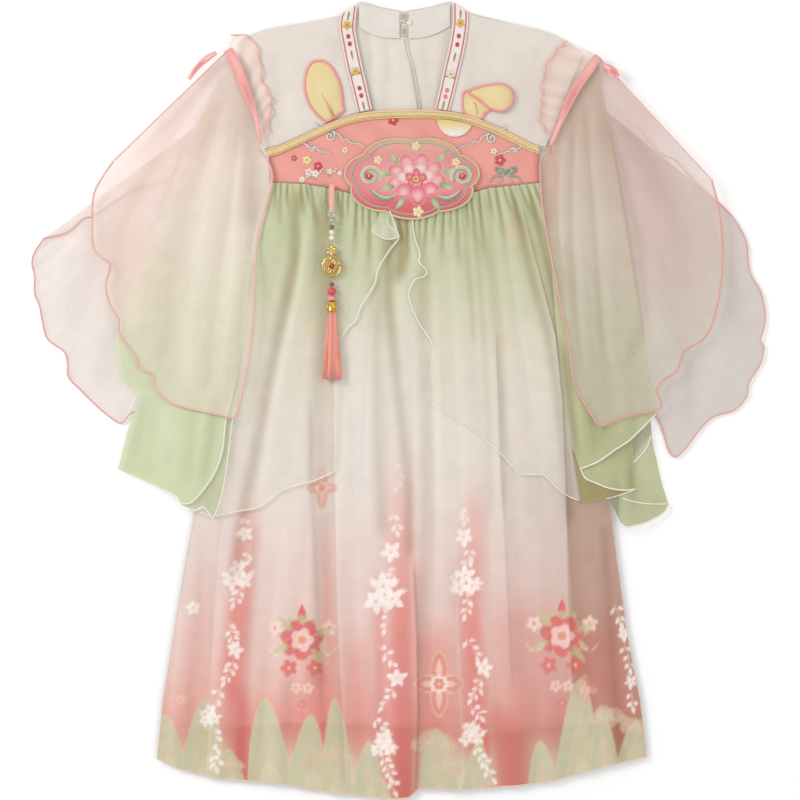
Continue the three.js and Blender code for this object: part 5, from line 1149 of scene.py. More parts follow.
for side, T in (("left", dict(back=FLOUNCE_BACK_LEFT, sl=SLEEVE_LEFT, fr=FLOUNCE_FRONT_LEFT, rib=RIBBON_LEFT, ruf=RUFFLE_LEFT, bow=BOW_LEFT, k=-1)),
                ("right", dict(back=FLOUNCE_BACK_RIGHT, sl=SLEEVE_RIGHT, fr=FLOUNCE_FRONT_RIGHT, rib=RIBBON_RIGHT, ruf=RUFFLE_RIGHT, bow=BOW_RIGHT, k=1))):
    k = T["k"]
    sd = 40 if k < 0 else 60
    left = k < 0
    # painted shade: the right side's back flounce is painted darker, as if lit from the left
    painted_side_shade = 1.0 if left else 0.915
    def c_back(x, y, u, v):
        return mix((226, 216, 208), (230, 198, 189), 0.6 * shoulder(x, y, k * 240, 190, 80)) * painted_side_shade
    hem_b = L_BACK_HEM if left else R_BACK_HEM
    xy = panel_xy(arm_of(T["back"]), hem_b, 190, 80)
    Pn = layer("flounce_back_%s_cloth" % side, ["flounce_back_" + side], xy, 0.8, 1.6, sd, LB_CREASES if left else RB_CREASES, c_back, "wing", "sleeve_back_%s_cloth" % side, ruffle=1.2)
    EDGE.tube(Pn[-1], 0.8, (232, 176, 166))
    # the wing's own upper edge, seen through the front layer
    if left:
        ln = spread([(-354.6, 162), (-331, 168), (-316, 181), (-303, 186), (-269, 208), (-241, 218), (-225, 226), (-220, 242), (-221, 262)], 60)
    else:
        ln = spread([(319.5, 198), (304, 212), (292, 224), (278, 240), (264, 246), (252, 258), (242, 272)], 60)
    EDGE.tube(np.column_stack([ln, 3.4 + climb(ln[:, 0], ln[:, 1])]), 0.75, (234, 178, 168), taper=np.linspace(1, 0.35, 60))
    green = [(60, (232, 226, 212)), (235, (228, 224, 206)), (300, (218, 219, 192)), (370, (210, 215, 182)), (430, (207, 213, 176)), (530, (204, 211, 172))]
    def c_sleeve(x, y, u, v):
        # painted shade: the right sleeve is painted darker and warmer, as if lit from the left
        return ramp(green, 400 - y) * (1.0 if left else np.array((0.915, 0.90, 0.835)))
    arm_s = arm_rib(T["rib"])
    if left:
        xb = panel_xy(arm_s, L_UNDER_HEM, 80, 110, inner=L_UNDER_INNER, outer=[(a_ + 4, b_) for a_, b_ in L_SLEEVE_OUTER], pw=3)
        xf = panel_xy(arm_s, L_SLEEVE_HEM, 90, 120, inner=L_SLEEVE_INNER, outer=L_SLEEVE_OUTER, pw=3)
        # painted shade: the back sleeve layer under the front one is painted 6% darker
        Pb = layer("sleeve_back_left_cloth", ["sleeve_back_left"], xb, PITCH + 0.3, 1.6, sd + 8, LS_CREASES, lambda x, y, u, v: c_sleeve(x, y, u, v) * 0.94, "sleeve", "flounce_back_left_cloth")
        Pf = layer("sleeve_front_left_cloth", ["sleeve_front_left"], xf, PITCH * 2 + 0.3, 1.8, sd + 9, LS_CREASES, c_sleeve, "sleeve", "sleeve_back_left_cloth")
        EDGE.tube(Pb[-1], 0.75, WHITE_M)
        EDGE.tube(Pb[66:, -1], 0.6, WHITE_M)
        EDGE.tube(Pf[-1, 60:], 0.7, WHITE_M)
        EDGE.tube(Pf[-1, :62], 0.45, (222, 224, 200))
        EDGE.tube(Pf[40:, -1], 0.75, WHITE_M, taper=np.clip(np.linspace(0.3, 1.6, 80), 0, 1))
    else:
        xb = panel_xy(arm_s, R_LOBE_HEM, 90, 120, inner=R_LOBE_INNER, outer=R_LOBE_OUTER, pw=3)
        xf = panel_xy(arm_s, R_SLEEVE_HEM, 90, 110, inner=R_SLEEVE_INNER, pw=3)
        # painted shade: the right back lobe is painted a little darker, and darker still in two patches where the
        # sleeve and its fold lie over it
        Pb = layer("sleeve_back_right_cloth", ["sleeve_back_right"], xb, PITCH + 0.1, 1.6, sd + 8, RS_CREASES, lambda x, y, u, v: c_sleeve(x, y, u, v) * 0.97 * (1 - 0.2 * sm((222 - x) / 3.5) * sm((-92 - y) / 5) - 0.16 * sm((y + 36 + (253 - x) * 1.35) / 6) * sm((y + 110) / 10))[..., None], "sleeve", "flounce_back_right_cloth", k=1.1)
        Pf = layer("sleeve_front_right_cloth", ["sleeve_front_right"], xf, PITCH * 2 + 0.4, 1.8, sd + 9, RS_CREASES, c_sleeve, "sleeve", "sleeve_back_right_cloth", k=1.1)
        xz = panel_xy(R_ZIG_TOP, R_ZIG_HEM, 60, 40)
        # painted shade: the fold is painted darker at its top, where it tucks under the sleeve hem
        Pz = layer("sleeve_fold_right_cloth", [], xz, PITCH * 1.5 + 0.2, 1.2, sd + 13, RS_CREASES, lambda x, y, u, v: c_sleeve(x, y, u, v) * (1.0 - 0.10 * sm(1 - v * 1.6))[..., None], "sleeve", "sleeve_back_right_cloth", k=1.1)
        xz = panel_xy(R_ZIG2_TOP, R_ZIG2_HEM, 50, 30)
        # painted shade: the underfold is painted darker and warmer
        Py = layer("sleeve_underfold_right_cloth", [], xz, PITCH * 1.5 - 0.5, 1.0, sd + 15, RS_CREASES, lambda x, y, u, v: c_sleeve(x, y, u, v) * np.array((0.86, 0.80, 0.70)), "sleeve", "sleeve_back_right_cloth", k=1.0)
        EDGE.tube(Py[-1, :28] + np.array([0, 0, 0.2]), 0.8, WHITE_M, taper=np.linspace(1, 0.4, 28))
        EDGE.tube(Pb[-1, :62], 0.85, WHITE_M)
        EDGE.tube(Pf[-1], 0.85, WHITE_M)
        EDGE.tube(Pz[-1], 0.85, WHITE_M)
        def on_lobe(ln, up):
            f = Pb.reshape(-1, 3)
            return np.column_stack([ln, [f[np.argmin((f[:, 0] - p[0]) ** 2 + (f[:, 1] - p[1]) ** 2), 2] + up for p in ln]])
        ln = spread([(253, -36), (249, -47), (242, -56), (235, -63)], 20)
        EDGE.tube(on_lobe(ln, 0.5), 0.7, WHITE_M)
        ln = spread([(224, -98), (238, -102), (254, -104), (270, -104)], 20)
        EDGE.tube(on_lobe(ln, 0.5), 0.7, WHITE_M)
    def c_front(x, y, u, v):
        c = ramp([(60, (236, 220, 212)), (130, (236, 220, 211)), (230, (234, 219, 208)), (330, (225, 216, 198)), (420, (223, 213, 194))], 400 - y)
        c = mix(c, (236, 190, 180), 0.5 * shoulder(x, y, k * 235, 265, 60) + 0.35 * shoulder(x, y, k * 270, 130, 50))
        # painted shade: darker pink at the top right, as if lit from the left
        if not left:
            c = mix(c, (210, 172, 160), 0.5 * shoulder(x, y, 232, 262, 60) + 0.25 * shoulder(x, y, 262, 180, 60))
        # pinker along the outer edge near the shoulder
        c = c * (1 - (sm((0.16 - u) / 0.16) * (1 - sm((v - 0.35) / 0.3)))[..., None] * np.array((0.04, 0.13, 0.14)))
        # darker near the inner edge at the top, where the sleeve layers lie beneath; partly painted shade
        c = c * (1 - (sm((u - 0.9) / 0.08) * (1 - sm((v - 0.45) / 0.2)))[..., None] * np.array((0.08, 0.09, 0.12)))
        # darker and pinker towards the top
        c = c * (1 - sm((y - 225) / 70)[..., None] * np.array((0.065, 0.115, 0.125)))
        # darker along a band near the armhole ribbon, above y 165
        ax = x * k - (148 if left else 150)
        c = c * (1 - (np.exp(-(ax / 11.0) ** 2) * sm((y - 165) / 25))[..., None] * (np.array((0.11, 0.15, 0.17)) if left else np.array((0.03, 0.15, 0.19))))
        # painted shade: the right flounce is painted darker, as if lit from the left
        return c * (1.0 if left else 0.945)
    xy = panel_xy(arm_rib(T["rib"]), L_FRONT_HEM if left else R_FRONT_HEM, 200, 130, inner=L_FRONT_INNER if left else R_FRONT_INNER)
    Pn = layer("flounce_front_%s_cloth" % side, ["flounce_front_" + side], xy, PITCH * 3 + 0.3, 2.6, sd + 20, L_CREASES if left else R_CREASES, c_front, "organza", "sleeve_front_%s_cloth" % side, ruffle=1.6, k=1.0)
    # painted shade: the right flounce's edge thread is painted darker, as if lit from the left
    EDGE.tube(Pn[-1] + np.array([0, 0, 0.2]), 0.9, (240, 188, 176) if left else (232, 170, 156))
    EDGE.tube(Pn[::2, -1] + np.array([0, 0, 0.2]), 0.95, (242, 190, 180) if left else (234, 174, 162))
    EDGE.tube(Pn[::2, 0], 0.7, (236, 196, 186))
    # satin ribbon on the armhole
    t = np.linspace(0, 1, 60)
    cx, cy, w = curve(T["rib"], t, "x"), curve(T["rib"], t, "y"), curve(T["rib"], t, "w")
    tx, ty = np.gradient(cx), np.gradient(cy)
    l = np.hypot(tx, ty)
    s = np.linspace(-0.5, 0.5, 9)
    X_ = cx[:, None] - (ty / l)[:, None] * s * w[:, None]
    Y_ = cy[:, None] + (tx / l)[:, None] * s * w[:, None]
    Z_ = PITCH * 4 + 0.9 + 0.5 * np.cos(s * 3.1)[None] + 0 * X_
    # painted sheen: light and dark bands along the satin ribbon
    cc = mix((222, 140, 134), (240, 178, 170), np.clip(0.5 + 0.6 * np.sin(t * 9)[:, None] * np.cos(s * 4)[None], 0, 1))
    grid_obj("ribbon_%s_satin" % side, np.stack([X_, Y_, Z_], -1), cc, "satin", sheet=["flounce_front_%s_cloth" % side], replaces=["ribbon_" + side], strip=True)
    # bow end
    cx, cy, w = curve(T["bow"], t, "x"), curve(T["bow"], t, "y"), curve(T["bow"], t, "w")
    tx, ty = np.gradient(cx), np.gradient(cy)
    l = np.hypot(tx, ty)
    X_ = cx[:, None] - (ty / l)[:, None] * s * w[:, None]
    Y_ = cy[:, None] + (tx / l)[:, None] * s * w[:, None]
    Z_ = PITCH * 4 + 2.0 + 0.8 * np.cos(s * 3.1)[None] + 0 * X_
    # painted sheen bands on the satin bow as well
    grid_obj("bow_%s_satin" % side, np.stack([X_, Y_, Z_], -1), mix((220, 134, 128), (242, 190, 180), np.clip(0.5 + np.sin(t * 7)[:, None] * np.cos(s * 5)[None], 0, 1)), "satin", sheet=["ribbon_%s_satin" % side], replaces=["bow_" + side], strip=True)
    # head ruffle
    u, v = np.meshgrid(np.linspace(0, 1, 120), np.linspace(0, 1, 20))
    wv = np.sin(u * 44 + 2 * np.sin(u * 9))
    ix, iy = curve(T["ruf"], u, "ix"), curve(T["ruf"], u, "iy")
    rl = spread([(-168, 364)] + arm_rib(T["rib"]) if left else [(185, 352)] + arm_rib(T["rib"]), 120)
    rx, ry = rl[None, :, 0] + 0 * u, rl[None, :, 1] + 0 * u
    x = ix + (rx - ix) * v + k * -0.9 * wv * (1 - v) ** 2
    y = iy + (ry - iy) * v
    z = Z_YOKE_TOP + 1.2 + (1.0 + wv) * (1 - v) * 0.9
    Pn = np.stack([x, y, z], -1)
    # painted highlight on the ruffle's wave crests and painted shade in its troughs
    grid_obj("ruffle_%s_cloth" % side, Pn, mix((240, 224, 214), (240, 196, 186), 0.6 * (1 - v) ** 2 + 0.3 * sm(u * 2.5 - 1.5) + 0.12 * (not left)) * (1 + 0.045 * wv * (0.4 + 0.6 * v))[..., None], "organza", sheet=["yoke_front_%s_cloth" % side], replaces=["ruffle_" + side], strip=True)
    EDGE.tube(Pn[0], 0.85, PINK_M)
EDGE.obj("merrowed_edges", "merrow", slot="organza_pink")

# ------------------------------------------------------- yoke, neck, straps
def band_top(x):
    return sum(read(BAND_TOP, "x", np.clip(x + d, -130.4, 141), "y") for d in (-15, -10, -5, 0, 5, 10, 15)) / 7.0
YOKE_CREASES = [
    ([(-32, 376), (-29, 340), (-24, 288)], 5, 0.6, 0.6, "trough"),
    ([(50, 376), (45, 340), (38, 288)], 4, 0.6, 0.4, "trough"),
    ([(-12, 362), (-10, 330), (-16, 288)], 5, 0.7, 0.3, "trough"),
    ([(-2, 360), (0, 320), (-2, 282)], 4, 0.6, -0.3, "ridge"),
    ([(14, 340), (20, 310), (26, 284)], 4, 0.7, 0.35, "trough"),
    ([(26, 360), (30, 320), (34, 288)], 5, 0.6, 0.2, "trough"),
    ([(-24, 370), (-22, 340), (-24, 300)], 5, 0.5, -0.25, "ridge"),
    ([(-126, 350), (-122, 310), (-124, 260)], 7, 0.7, 0.3, "trough"),
    ([(-108, 360), (-106, 310), (-102, 264)], 8, 0.6, -0.25, "ridge"),
    ([(-68, 370), (-62, 350), (-58, 330)], 7, 0.6, 0.25, "trough"),
    ([(80, 376), (76, 340), (70, 304)], 6, 0.6, 0.25, "trough"),
    ([(122, 350), (126, 310), (122, 262)], 8, 0.7, 0.28, "trough"),
    ([(138, 354), (136, 310), (134, 256)], 6, 0.6, 0.3, "trough"),
    ([(102, 360), (106, 330), (102, 312)], 8, 0.6, -0.22, "ridge"),
]

def yoke(name, rows, node, z0, foot=None, rest="yoke_back_left_cloth", crown=0.8, notch=None):
    u, v = np.meshgrid(np.linspace(0, 1, 70), np.linspace(0, 1, 70))
    bx = curve(rows, u, "bx")
    by = band_top(bx) + 3.2 if foot is None else foot + 0 * bx
    x = bx + (curve(rows, u, "tx") - bx) * v + curve(rows, u, "bow") * 4 * v * (1 - v)
    y = by + (curve(rows, u, "ty") - by) * v
    z = z0 + crown * (0.5 + 0.5 * wob(x * 1.0 + y * 0.25, 71, 5, 0.03, 0.12))
    c = mix((226, 217, 207), (216, 204, 194), 0.5 * np.clip(0.5 + wob(x + 0.3 * y, 72, 5, 0.03, 0.12), 0, 1))
    # painted shade in the yoke's creases, beside the straps too, and painted highlight on its ridges
    yh, yd = crease_field(x, y, YOKE_CREASES, 16.0)
    z, c = z + np.maximum(yh, -0.6) * 0.6, fold_shade(c, yd, 0.55)
    if notch is not None:
        m = (np.abs(x - notch) < 4.5 * (y > 363)) & (y > 363)
        x = np.where(m, notch + np.sign(x - notch + 1e-6 if rows[0]["bx"] > 0 else -1.0) * 4.5, x)
    return grid_obj(name, np.stack([x, y, z], -1), c, "cotton", sheet=[rest], replaces=[node])
yoke("yoke_back_left_cloth", YOKE_BACK_LEFT, "yoke_back_left", 0.8, 250.0, rest="neck_facing_left", crown=0.3)
yoke("yoke_back_right_cloth", YOKE_BACK_RIGHT, "yoke_back_right", 0.8, 250.0, rest="neck_facing_right", crown=0.3)
yoke("yoke_front_left_cloth", YOKE_LEFT, "yoke_front_left", Z_YOKE_TOP - 1.0, rest="yoke_back_left_cloth")
yoke("yoke_front_right_cloth", YOKE_RIGHT, "yoke_front_right", Z_YOKE_TOP - 1.0, rest="yoke_back_right_cloth")
# painted keyhole shadow, placket and facing
b = Batch()
for kx, ky, kw, kh in ((6, 384, 3.8, 3.6), (6.5, 369, 4.0, 4.4)):
    for j in range(3):
        g = 1 - j * 0.22
        b.add([(kx - kw * g, ky - kh * g, 2.75 + 0.02 * j), (kx + kw * g, ky - kh * g, 2.75 + 0.02 * j), (kx + kw * g, ky + kh * g, 2.75 + 0.02 * j), (kx - kw * g, ky + kh * g, 2.75 + 0.02 * j)], [[0, 1, 2, 3]], ((206, 196, 186), (190, 178, 166), (178, 166, 154))[j])
b.obj("keyhole_painted_shadow", "cotton", slot="cotton")
b = Batch()
pl = [(6, 362), (8, 350), (12, 336), (16, 316), (20, 292)]
b.tube(pl, 0.5, (210, 200, 190), z=1.4)
b.tube([(p[0] + 3.2, p[1]) for p in pl], 0.35, (212, 202, 192), z=1.5)
b.obj("placket_seam", "cotton", slot="cotton")
for nm, rows in (("left", COLLAR), ("right", COLLAR_RIGHT)):
    u, v = np.meshgrid(np.linspace(0, 1, 50), np.linspace(0, 1, 24))
    x = curve(rows, u, "x")
    t_, l_ = curve(rows, u, "top"), curve(rows, u, "low")
    y = t_ + (l_ - t_) * v + 0.25 * np.sin(u * 9) * v ** 4
    z = Z_INNER + 0.5 + 0.25 * np.sin(u * 7 + v * 3)
    # painted shade, a touch darker towards the facing's lower edge
    grid_obj("neck_facing_%s_cloth" % nm, np.stack([x, y, z], -1), mix((224, 215, 206), (220, 211, 202), 0.6 * v ** 3), "cotton", sheet=["yoke_back_%s_cloth" % nm], replaces=["neck_facing_" + nm])

def ribbon_strap(name, rows, node, flip):
    t = np.linspace(0, 1, 110)
    cx, cy, w = curve(rows, t, "x"), curve(rows, t, "y"), curve(rows, t, "w")
    tx, ty = np.gradient(cx), np.gradient(cy)
    l = np.hypot(tx, ty)
    nx, ny = -ty / l, tx / l
    s = np.linspace(-0.5, 0.5, 31)
    X_ = cx[:, None] + nx[:, None] * s * w[:, None]
    Y_ = cy[:, None] + ny[:, None] * s * w[:, None]
    inw = (1 if cx[0] < 0 else -1) * np.sign(nx[:1])[:, None]
    Y_ = Y_ + (1.0 + 5.5 * 2 * s[None] * inw) * (1 - sm(t / 0.12))[:, None]
    Z_ = Z_YOKE_TOP + 1.0 + 0.25 * np.cos(s * 3.1)[None] + 0 * X_
    c = np.full(X_.shape + (3,), 1.0) * np.array((240, 232, 222))
    for e in (-0.36, 0.36):
        c = mix(c, (206, 84, 92), np.clip(1.4 - np.abs(s - e) * w[:, None] / 0.75, 0, 1))
    grid_obj(name, np.stack([X_, Y_, Z_], -1), c, "stitch", sheet=["yoke_front_%s_cloth" % ("left" if cx[0] < 0 else "right")], replaces=[node], slot="embroidered_ribbon", strip=True)
    b = Batch()
    z = Z_YOKE_TOP + 1.3
    for q, kind in ((0.08, "spindle"), (0.19, "bloom"), (0.31, "dot"), (0.385, "dot"), (0.5, "spindle"), (0.655, "sprig"), (0.80, "dot"), (0.865, "dot"), (0.96, "spindle")):
        x, y = np.interp(q, t, cx), np.interp(q, t, cy)
        a = math.atan2(np.interp(q, t, ty), np.interp(q, t, tx))
        if kind == "spindle":
            b.pad(x, y, 5.0, 1.2, a, z, 0.6, (170, 138, 74), n=12, tip=0.6)
        elif kind == "dot":
            b.pad(x, y, 2.5, 2.1, a, z, 0.9, (206, 56, 74) if (flip or q < 0.5) else (232, 130, 150), n=12)
        elif kind == "bloom":
            b.flower(x, y, 4.4, z, (226, 182, 84), (206, 90, 90), 5, a)
            b.pad(x + 3.0 * math.cos(a + 2.5), y + 3.0 * math.sin(a + 2.5), 2.2, 1.0, a + 2.5, z, 0.4, (136, 160, 116), tip=0.8)
        else:
            for k in (-1, 1):
                b.pad(x + 3.6 * math.cos(a + k * 0.9), y + 3.6 * math.sin(a + k * 0.9), 3.4, 1.5, a + k * 0.9, z, 0.5, (132, 160, 110), tip=0.8)
            b.flower(x, y, 4.2, z + 0.2, (228, 190, 100) if flip else (240, 226, 190), (214, 92, 96), 5, a)
    b.obj(name + "_embroidery", "stitch", slot="embroidery")
ribbon_strap("strap_left_ribbon", STRAP_LEFT, "strap_left", True)
ribbon_strap("strap_right_ribbon", STRAP_RIGHT, "strap_right", False)
# ------------------------------------------------------------------- band
u, v = np.meshgrid(np.linspace(0, 1, 150), np.linspace(0, 1, 50))
xt, xb = -130.4 + 271.4 * u, -125 + 268 * u
bx_ = xt + (xb - xt) * v
byt = band_top(xt)
by_ = byt + (read(WAIST, "u", u, "y") + 0.3 - byt) * v
bz_ = Z_BAND_TOP - 0.6 + 0.25 * wob(bx_ + by_ * 0.6, 81, 5, 0.05, 0.2)
cb = mix((232, 160, 149), (222, 144, 134), 0.5 * np.clip(0.5 + wob(bx_ * 0.8 + by_, 82, 5, 0.04, 0.2), 0, 1))
# painted shade along the band's lower edge and at both ends
cb = cb * (1 - 0.14 * (sm((v - 0.93) / 0.07) + sm((0.03 - np.minimum(u, 1 - u)) / 0.03))[..., None])
grid_obj("band_front_cloth", np.stack([bx_, by_, bz_], -1), cb, "band", sheet=["band_back_cloth"], replaces=["band_front"])
xk = -129.4 + 270.4 * u
grid_obj("band_back_cloth", np.stack([xk, 249.5 + (read(WAIST, "u", u, "y") + 0.5 - 249.5) * v, 0.8 + 0 * u], -1), np.full(u.shape + (3,), 1.0) * np.array((228, 158, 147)), "band", sheet=["band_front"], replaces=["band_back"])
xs = np.linspace(-130.4, 141, 160)
b = Batch()
b.tube(np.column_stack([xs, band_top(xs) + 1.2, np.full(160, Z_BAND_TOP + 0.3)]), 1.1, (236, 196, 150), n=8)
b.obj("band_piping_satin", "satin", replaces=["band_piping"], slot="piping_pink")
b = Batch()
for off, r in ((-1.0, 1.0), (-3.0, 1.15), (-5.0, 1.0)):
    b.tube(np.column_stack([xs, band_top(xs) + off, np.full(160, Z_BAND_TOP + 0.8)]), r, (244, 214, 152) if off == -3.0 else (250, 226, 172), n=6, flat=0.6)
nk = 150
xk = np.linspace(-129, 139.5, nk)
for x in xk:
    y = band_top(x)
    for s_ in (-1, 1):
        # painted highlight on each twist's upper strand and painted shade on its lower one
        b.tube([(x, y - 3.0 + s_ * 2.4, Z_BAND_TOP + 1.35), (x + 1.3, y - 3.0, Z_BAND_TOP + 1.75), (x + 2.4, y - 3.0 + s_ * -0.3, Z_BAND_TOP + 1.4)], 0.55, (252, 234, 182) if s_ > 0 else (236, 200, 134), n=5)
b.obj("band_braid_gold", "braid", replaces=["band_braid"])

# ---------------------------------------------------------- badge, original
badge_c = (14, 222)
def badge_r(a):
    return 1 - 0.1 * (1 - np.abs(np.sin(7 * (a + math.pi / 2) / 2 + math.pi / 2)) ** 0.8)
waist_at = lambda x: read(WAIST, "u", (x + 125) / 268.0, "y")
def badge_z(x, y):
    return Z_BAND_TOP + 0.3 + 2.2 * sm((waist_at(x) + 16 - y) / 14)
a = np.linspace(0, 2 * math.pi, 141)[:-1]
rad = np.linspace(0.0, 1, 30)
RR, AA = np.meshgrid(rad, a, indexing="ij")
gx = badge_c[0] + 68 * badge_r(AA) * RR * np.cos(AA)
gy = badge_c[1] + 41 * badge_r(AA) * RR * np.sin(AA)
gz = badge_z(gx, gy) + 1.1 + 0.7 * (1 - RR ** 4)
cc = mix((240, 180, 178), (230, 138, 140), sm(RR * 1.1))
cc = mix(cc, (216, 80, 88), 0.75 * sm((badge_c[1] - 4 - gy) / 30) * sm((RR - 0.25) / 0.4))
cc = mix(cc, (240, 208, 160), 0.5 * sm((gy - badge_c[1] - 16) / 22) * sm((RR - 0.4) / 0.4))
F = grid_faces(30, 140, True)
ob = mesh_obj("badge_cloth", np.stack([gx, gy, gz], -1), F[:, ::-1] if False else F, cc, "stitch", replaces=["band_badge"])
E = Batch()
edge = np.stack([gx[-1], gy[-1], gz[-1]], -1)
edge = np.vstack([edge, edge[:1]])
E.tube(edge, 1.1, (214, 202, 150), n=7)
inner = np.stack([gx[26], gy[26], gz[26] + 0.2], -1)
E.tube(np.vstack([inner, inner[:1]]), 0.7, (160, 190, 160), n=6)
def on(x, y):
    return float(badge_z(np.array(x), np.array(y))) + 1.7
# peony of three rings of petals, leaves and scrolling ribbons
cx0, cy0 = badge_c[0] + 4, badge_c[1] - 1
for n_, rr_, pr, pw, c1, c2 in ((9, 21, 10.5, 8.2, (226, 104, 116), (246, 196, 196)), (7, 13.5, 8.5, 6.6, (236, 150, 156), (250, 222, 216)), (5, 6.8, 5.6, 4.6, (210, 70, 86), (240, 150, 150))):
    for k in range(n_):
        t = 2 * math.pi * k / n_ + 0.3 * n_
        x, y = cx0 + rr_ * math.cos(t), cy0 + rr_ * 0.82 * math.sin(t)
        E.pad(x, y, pr, pw, t, on(x, y) - 0.4 + (21 - rr_) * 0.05, 1.0, c1, c2, n=16)
        q = np.linspace(-1.2, 1.2, 9)
        E.tube(np.column_stack([x + pr * 0.92 * np.cos(q) * math.cos(t) - pw * 0.92 * np.sin(q) * math.sin(t), y + pr * 0.92 * np.cos(q) * math.sin(t) + pw * 0.92 * np.sin(q) * math.cos(t), np.full(9, on(x, y) + 0.15 + (21 - rr_) * 0.05)]), 0.4, (238, 206, 150), n=5)
for k in range(9):
    t = 2 * math.pi * k / 9
    E.pad(cx0 + 2.2 * math.cos(t), cy0 + 2.2 * math.sin(t), 1.1, 1.1, 0, on(cx0, cy0) + 0.7, 0.8, (236, 206, 120), n=8)
for dx, dy, ln, rot in ((-34, 6, 11, 2.9), (-30, -10, 10, 3.5), (36, 8, 11, 0.2), (33, -9, 10, -0.4), (-22, 21, 9, 2.2), (26, 22, 9, 0.9), (-16, -25, 9, 4.1), (20, -26, 9, 5.3)):
    x, y = cx0 + dx, cy0 + dy
    E.pad(x, y, ln, 4.2, rot, on(x, y) - 0.4, 0.9, (120, 158, 118), (186, 206, 150), n=14, tip=0.85)
    E.tube([(x - ln * 0.8 * math.cos(rot), y - ln * 0.8 * math.sin(rot), on(x, y) + 0.4), (x + ln * 0.7 * math.cos(rot), y + ln * 0.7 * math.sin(rot), on(x, y) + 0.4)], 0.35, (226, 226, 176), n=5)
for sgn in (-1, 1):
    q = np.linspace(0, 1, 60)
    t = 0.6 + 9.4 * q
    rr_ = 1.4 + 8.6 * q ** 0.9
    for w_, c_, o_ in ((1.5, (172, 200, 186), 0.0), (0.9, (240, 214, 150), 1.9)):
        xx = cx0 + sgn * (46 + (rr_ + o_) * np.cos(t))
        yy = cy0 + 3 + (rr_ + o_) * 0.95 * np.sin(t)
        E.tube(np.column_stack([xx, yy, badge_z(xx, yy) + 2.0]), w_, c_, n=6, flat=0.5, taper=np.clip(0.45 + q, 0, 1))
    q = np.linspace(0, 1, 30)
    for w_, c_, o_ in ((1.6, (128, 164, 134), 0.0), (0.8, (226, 230, 200), 2.0)):
        xx = cx0 + sgn * (20 + 26 * q)
        yy = cy0 - 18 - 6 * np.sin(q * 3.1) + 7 * q + o_
        E.tube(np.column_stack([xx, yy, badge_z(xx, yy) + 2.0]), w_, c_, n=6, flat=0.5, taper=np.sin(np.clip(q, 0.03, 0.97) * math.pi) ** 0.5)
for dx, dy, r, c_ in ((-47, 3, 3.4, (206, 56, 70)), (46, 3, 3.4, (206, 56, 70)), (-38, 19, 3.6, (240, 222, 170)), (40, 17, 3.6, (240, 222, 170)), (0, 33, 3.8, (240, 222, 170)), (2, -33, 4.6, (240, 226, 180))):
    E.flower(cx0 + dx, cy0 + dy, r * 1.2, on(cx0 + dx, cy0 + dy) - 0.1, c_, (240, 200, 120))
# motifs on the pink band itself: cloud scrolls, blossoms, ribbon sprays
zb = Z_BAND_TOP - 0.1
def cloud(x, y, s, rot, m=1):
    """An embroidered cloud scroll: a spiral head, lobes and a drawn-out tail, in two threads."""
    q = np.linspace(0, 1, 44)
    t = 4.7 + 8.2 * (1 - q)
    rr = 1.0 + 4.6 * q
    head = np.column_stack([rr * np.cos(t), rr * np.sin(t)])
    tail = spread([head[-1], (9, -5.0), (14, -1.5), (18, -4.5), (23, -2.2), (30, -4.6), (38, -3.4)], 50)
    lobes = spread([(-5.0, -3.0), (-10, -1.0), (-11, -4.6), (-16, -4.0), (-20, -6.2)], 34)
    for path in (np.vstack([head, tail[1:]]), lobes):
        for w_, c_, o_ in ((0.75, (240, 240, 230), 0.0), (0.6, (154, 188, 182), -1.4)):
            px, pyy = path[:, 0] * s, (path[:, 1] + o_) * s
            xx = x + m * (px * math.cos(rot) - pyy * math.sin(rot))
            yy = y + px * math.sin(rot) + pyy * math.cos(rot)
            E.tube(np.column_stack([xx, yy, np.full(len(xx), zb + 0.35)]), w_, c_, n=6, flat=0.7, taper=np.clip(np.linspace(0.9, 0.5, len(xx)), 0, 1))
cloud(-68, 264, 0.95, 3.55, -1)
cloud(94, 262, 0.95, 3.55, 1)
cloud(-86, 251, 0.5, 3.5, -1)
cloud(118, 250, 0.5, 3.5, 1)
for x, y, r, c_, cc_ in ((-5, 280, 5.2, (206, 60, 70), (240, 200, 120)), (-91, 240, 4.6, (240, 222, 160), (220, 160, 90)), (-80, 234, 4.4, (208, 62, 76), (240, 210, 150)),
                        (-89, 228, 4.2, (242, 214, 206), (226, 150, 140)), (102, 240, 5.4, (212, 76, 92), (240, 206, 130)), (96, 249, 3.6, (240, 228, 176), (220, 160, 90)),
                        (-53, 250, 3.4, (240, 222, 176), (214, 90, 90)), (-104, 242, 3.0, (216, 86, 96), (240, 210, 150))):
    E.flower(x, y, r, zb, c_, cc_)
q = np.linspace(0, 1, 40)
br_x, br_y = -98 + 40 * q, 219 + 9 * np.sin(q * 2.2)
E.tube(np.column_stack([br_x, br_y, np.full(40, zb + 0.35)]), 0.7, (222, 208, 176), n=6, flat=0.6, taper=np.linspace(1, 0.4, 40))
for k, j in ((1, 6), (-1, 12), (1, 19), (-1, 26), (1, 33)):
    E.pad(br_x[j] + 1.5, br_y[j] + k * 2.4, 3.2, 1.1, k * 0.9, zb + 0.3, 0.6, (226, 224, 198) if k > 0 else (166, 190, 160), n=10, rings=2, tip=0.7)
for j, r_, c_ in ((2, 3.2, (244, 238, 228)), (15, 3.8, (244, 238, 228)), (29, 3.2, (242, 222, 212)), (39, 2.6, (244, 238, 228))):
    E.flower(br_x[j], br_y[j] + 0.6, r_, zb, c_, (226, 170, 110))
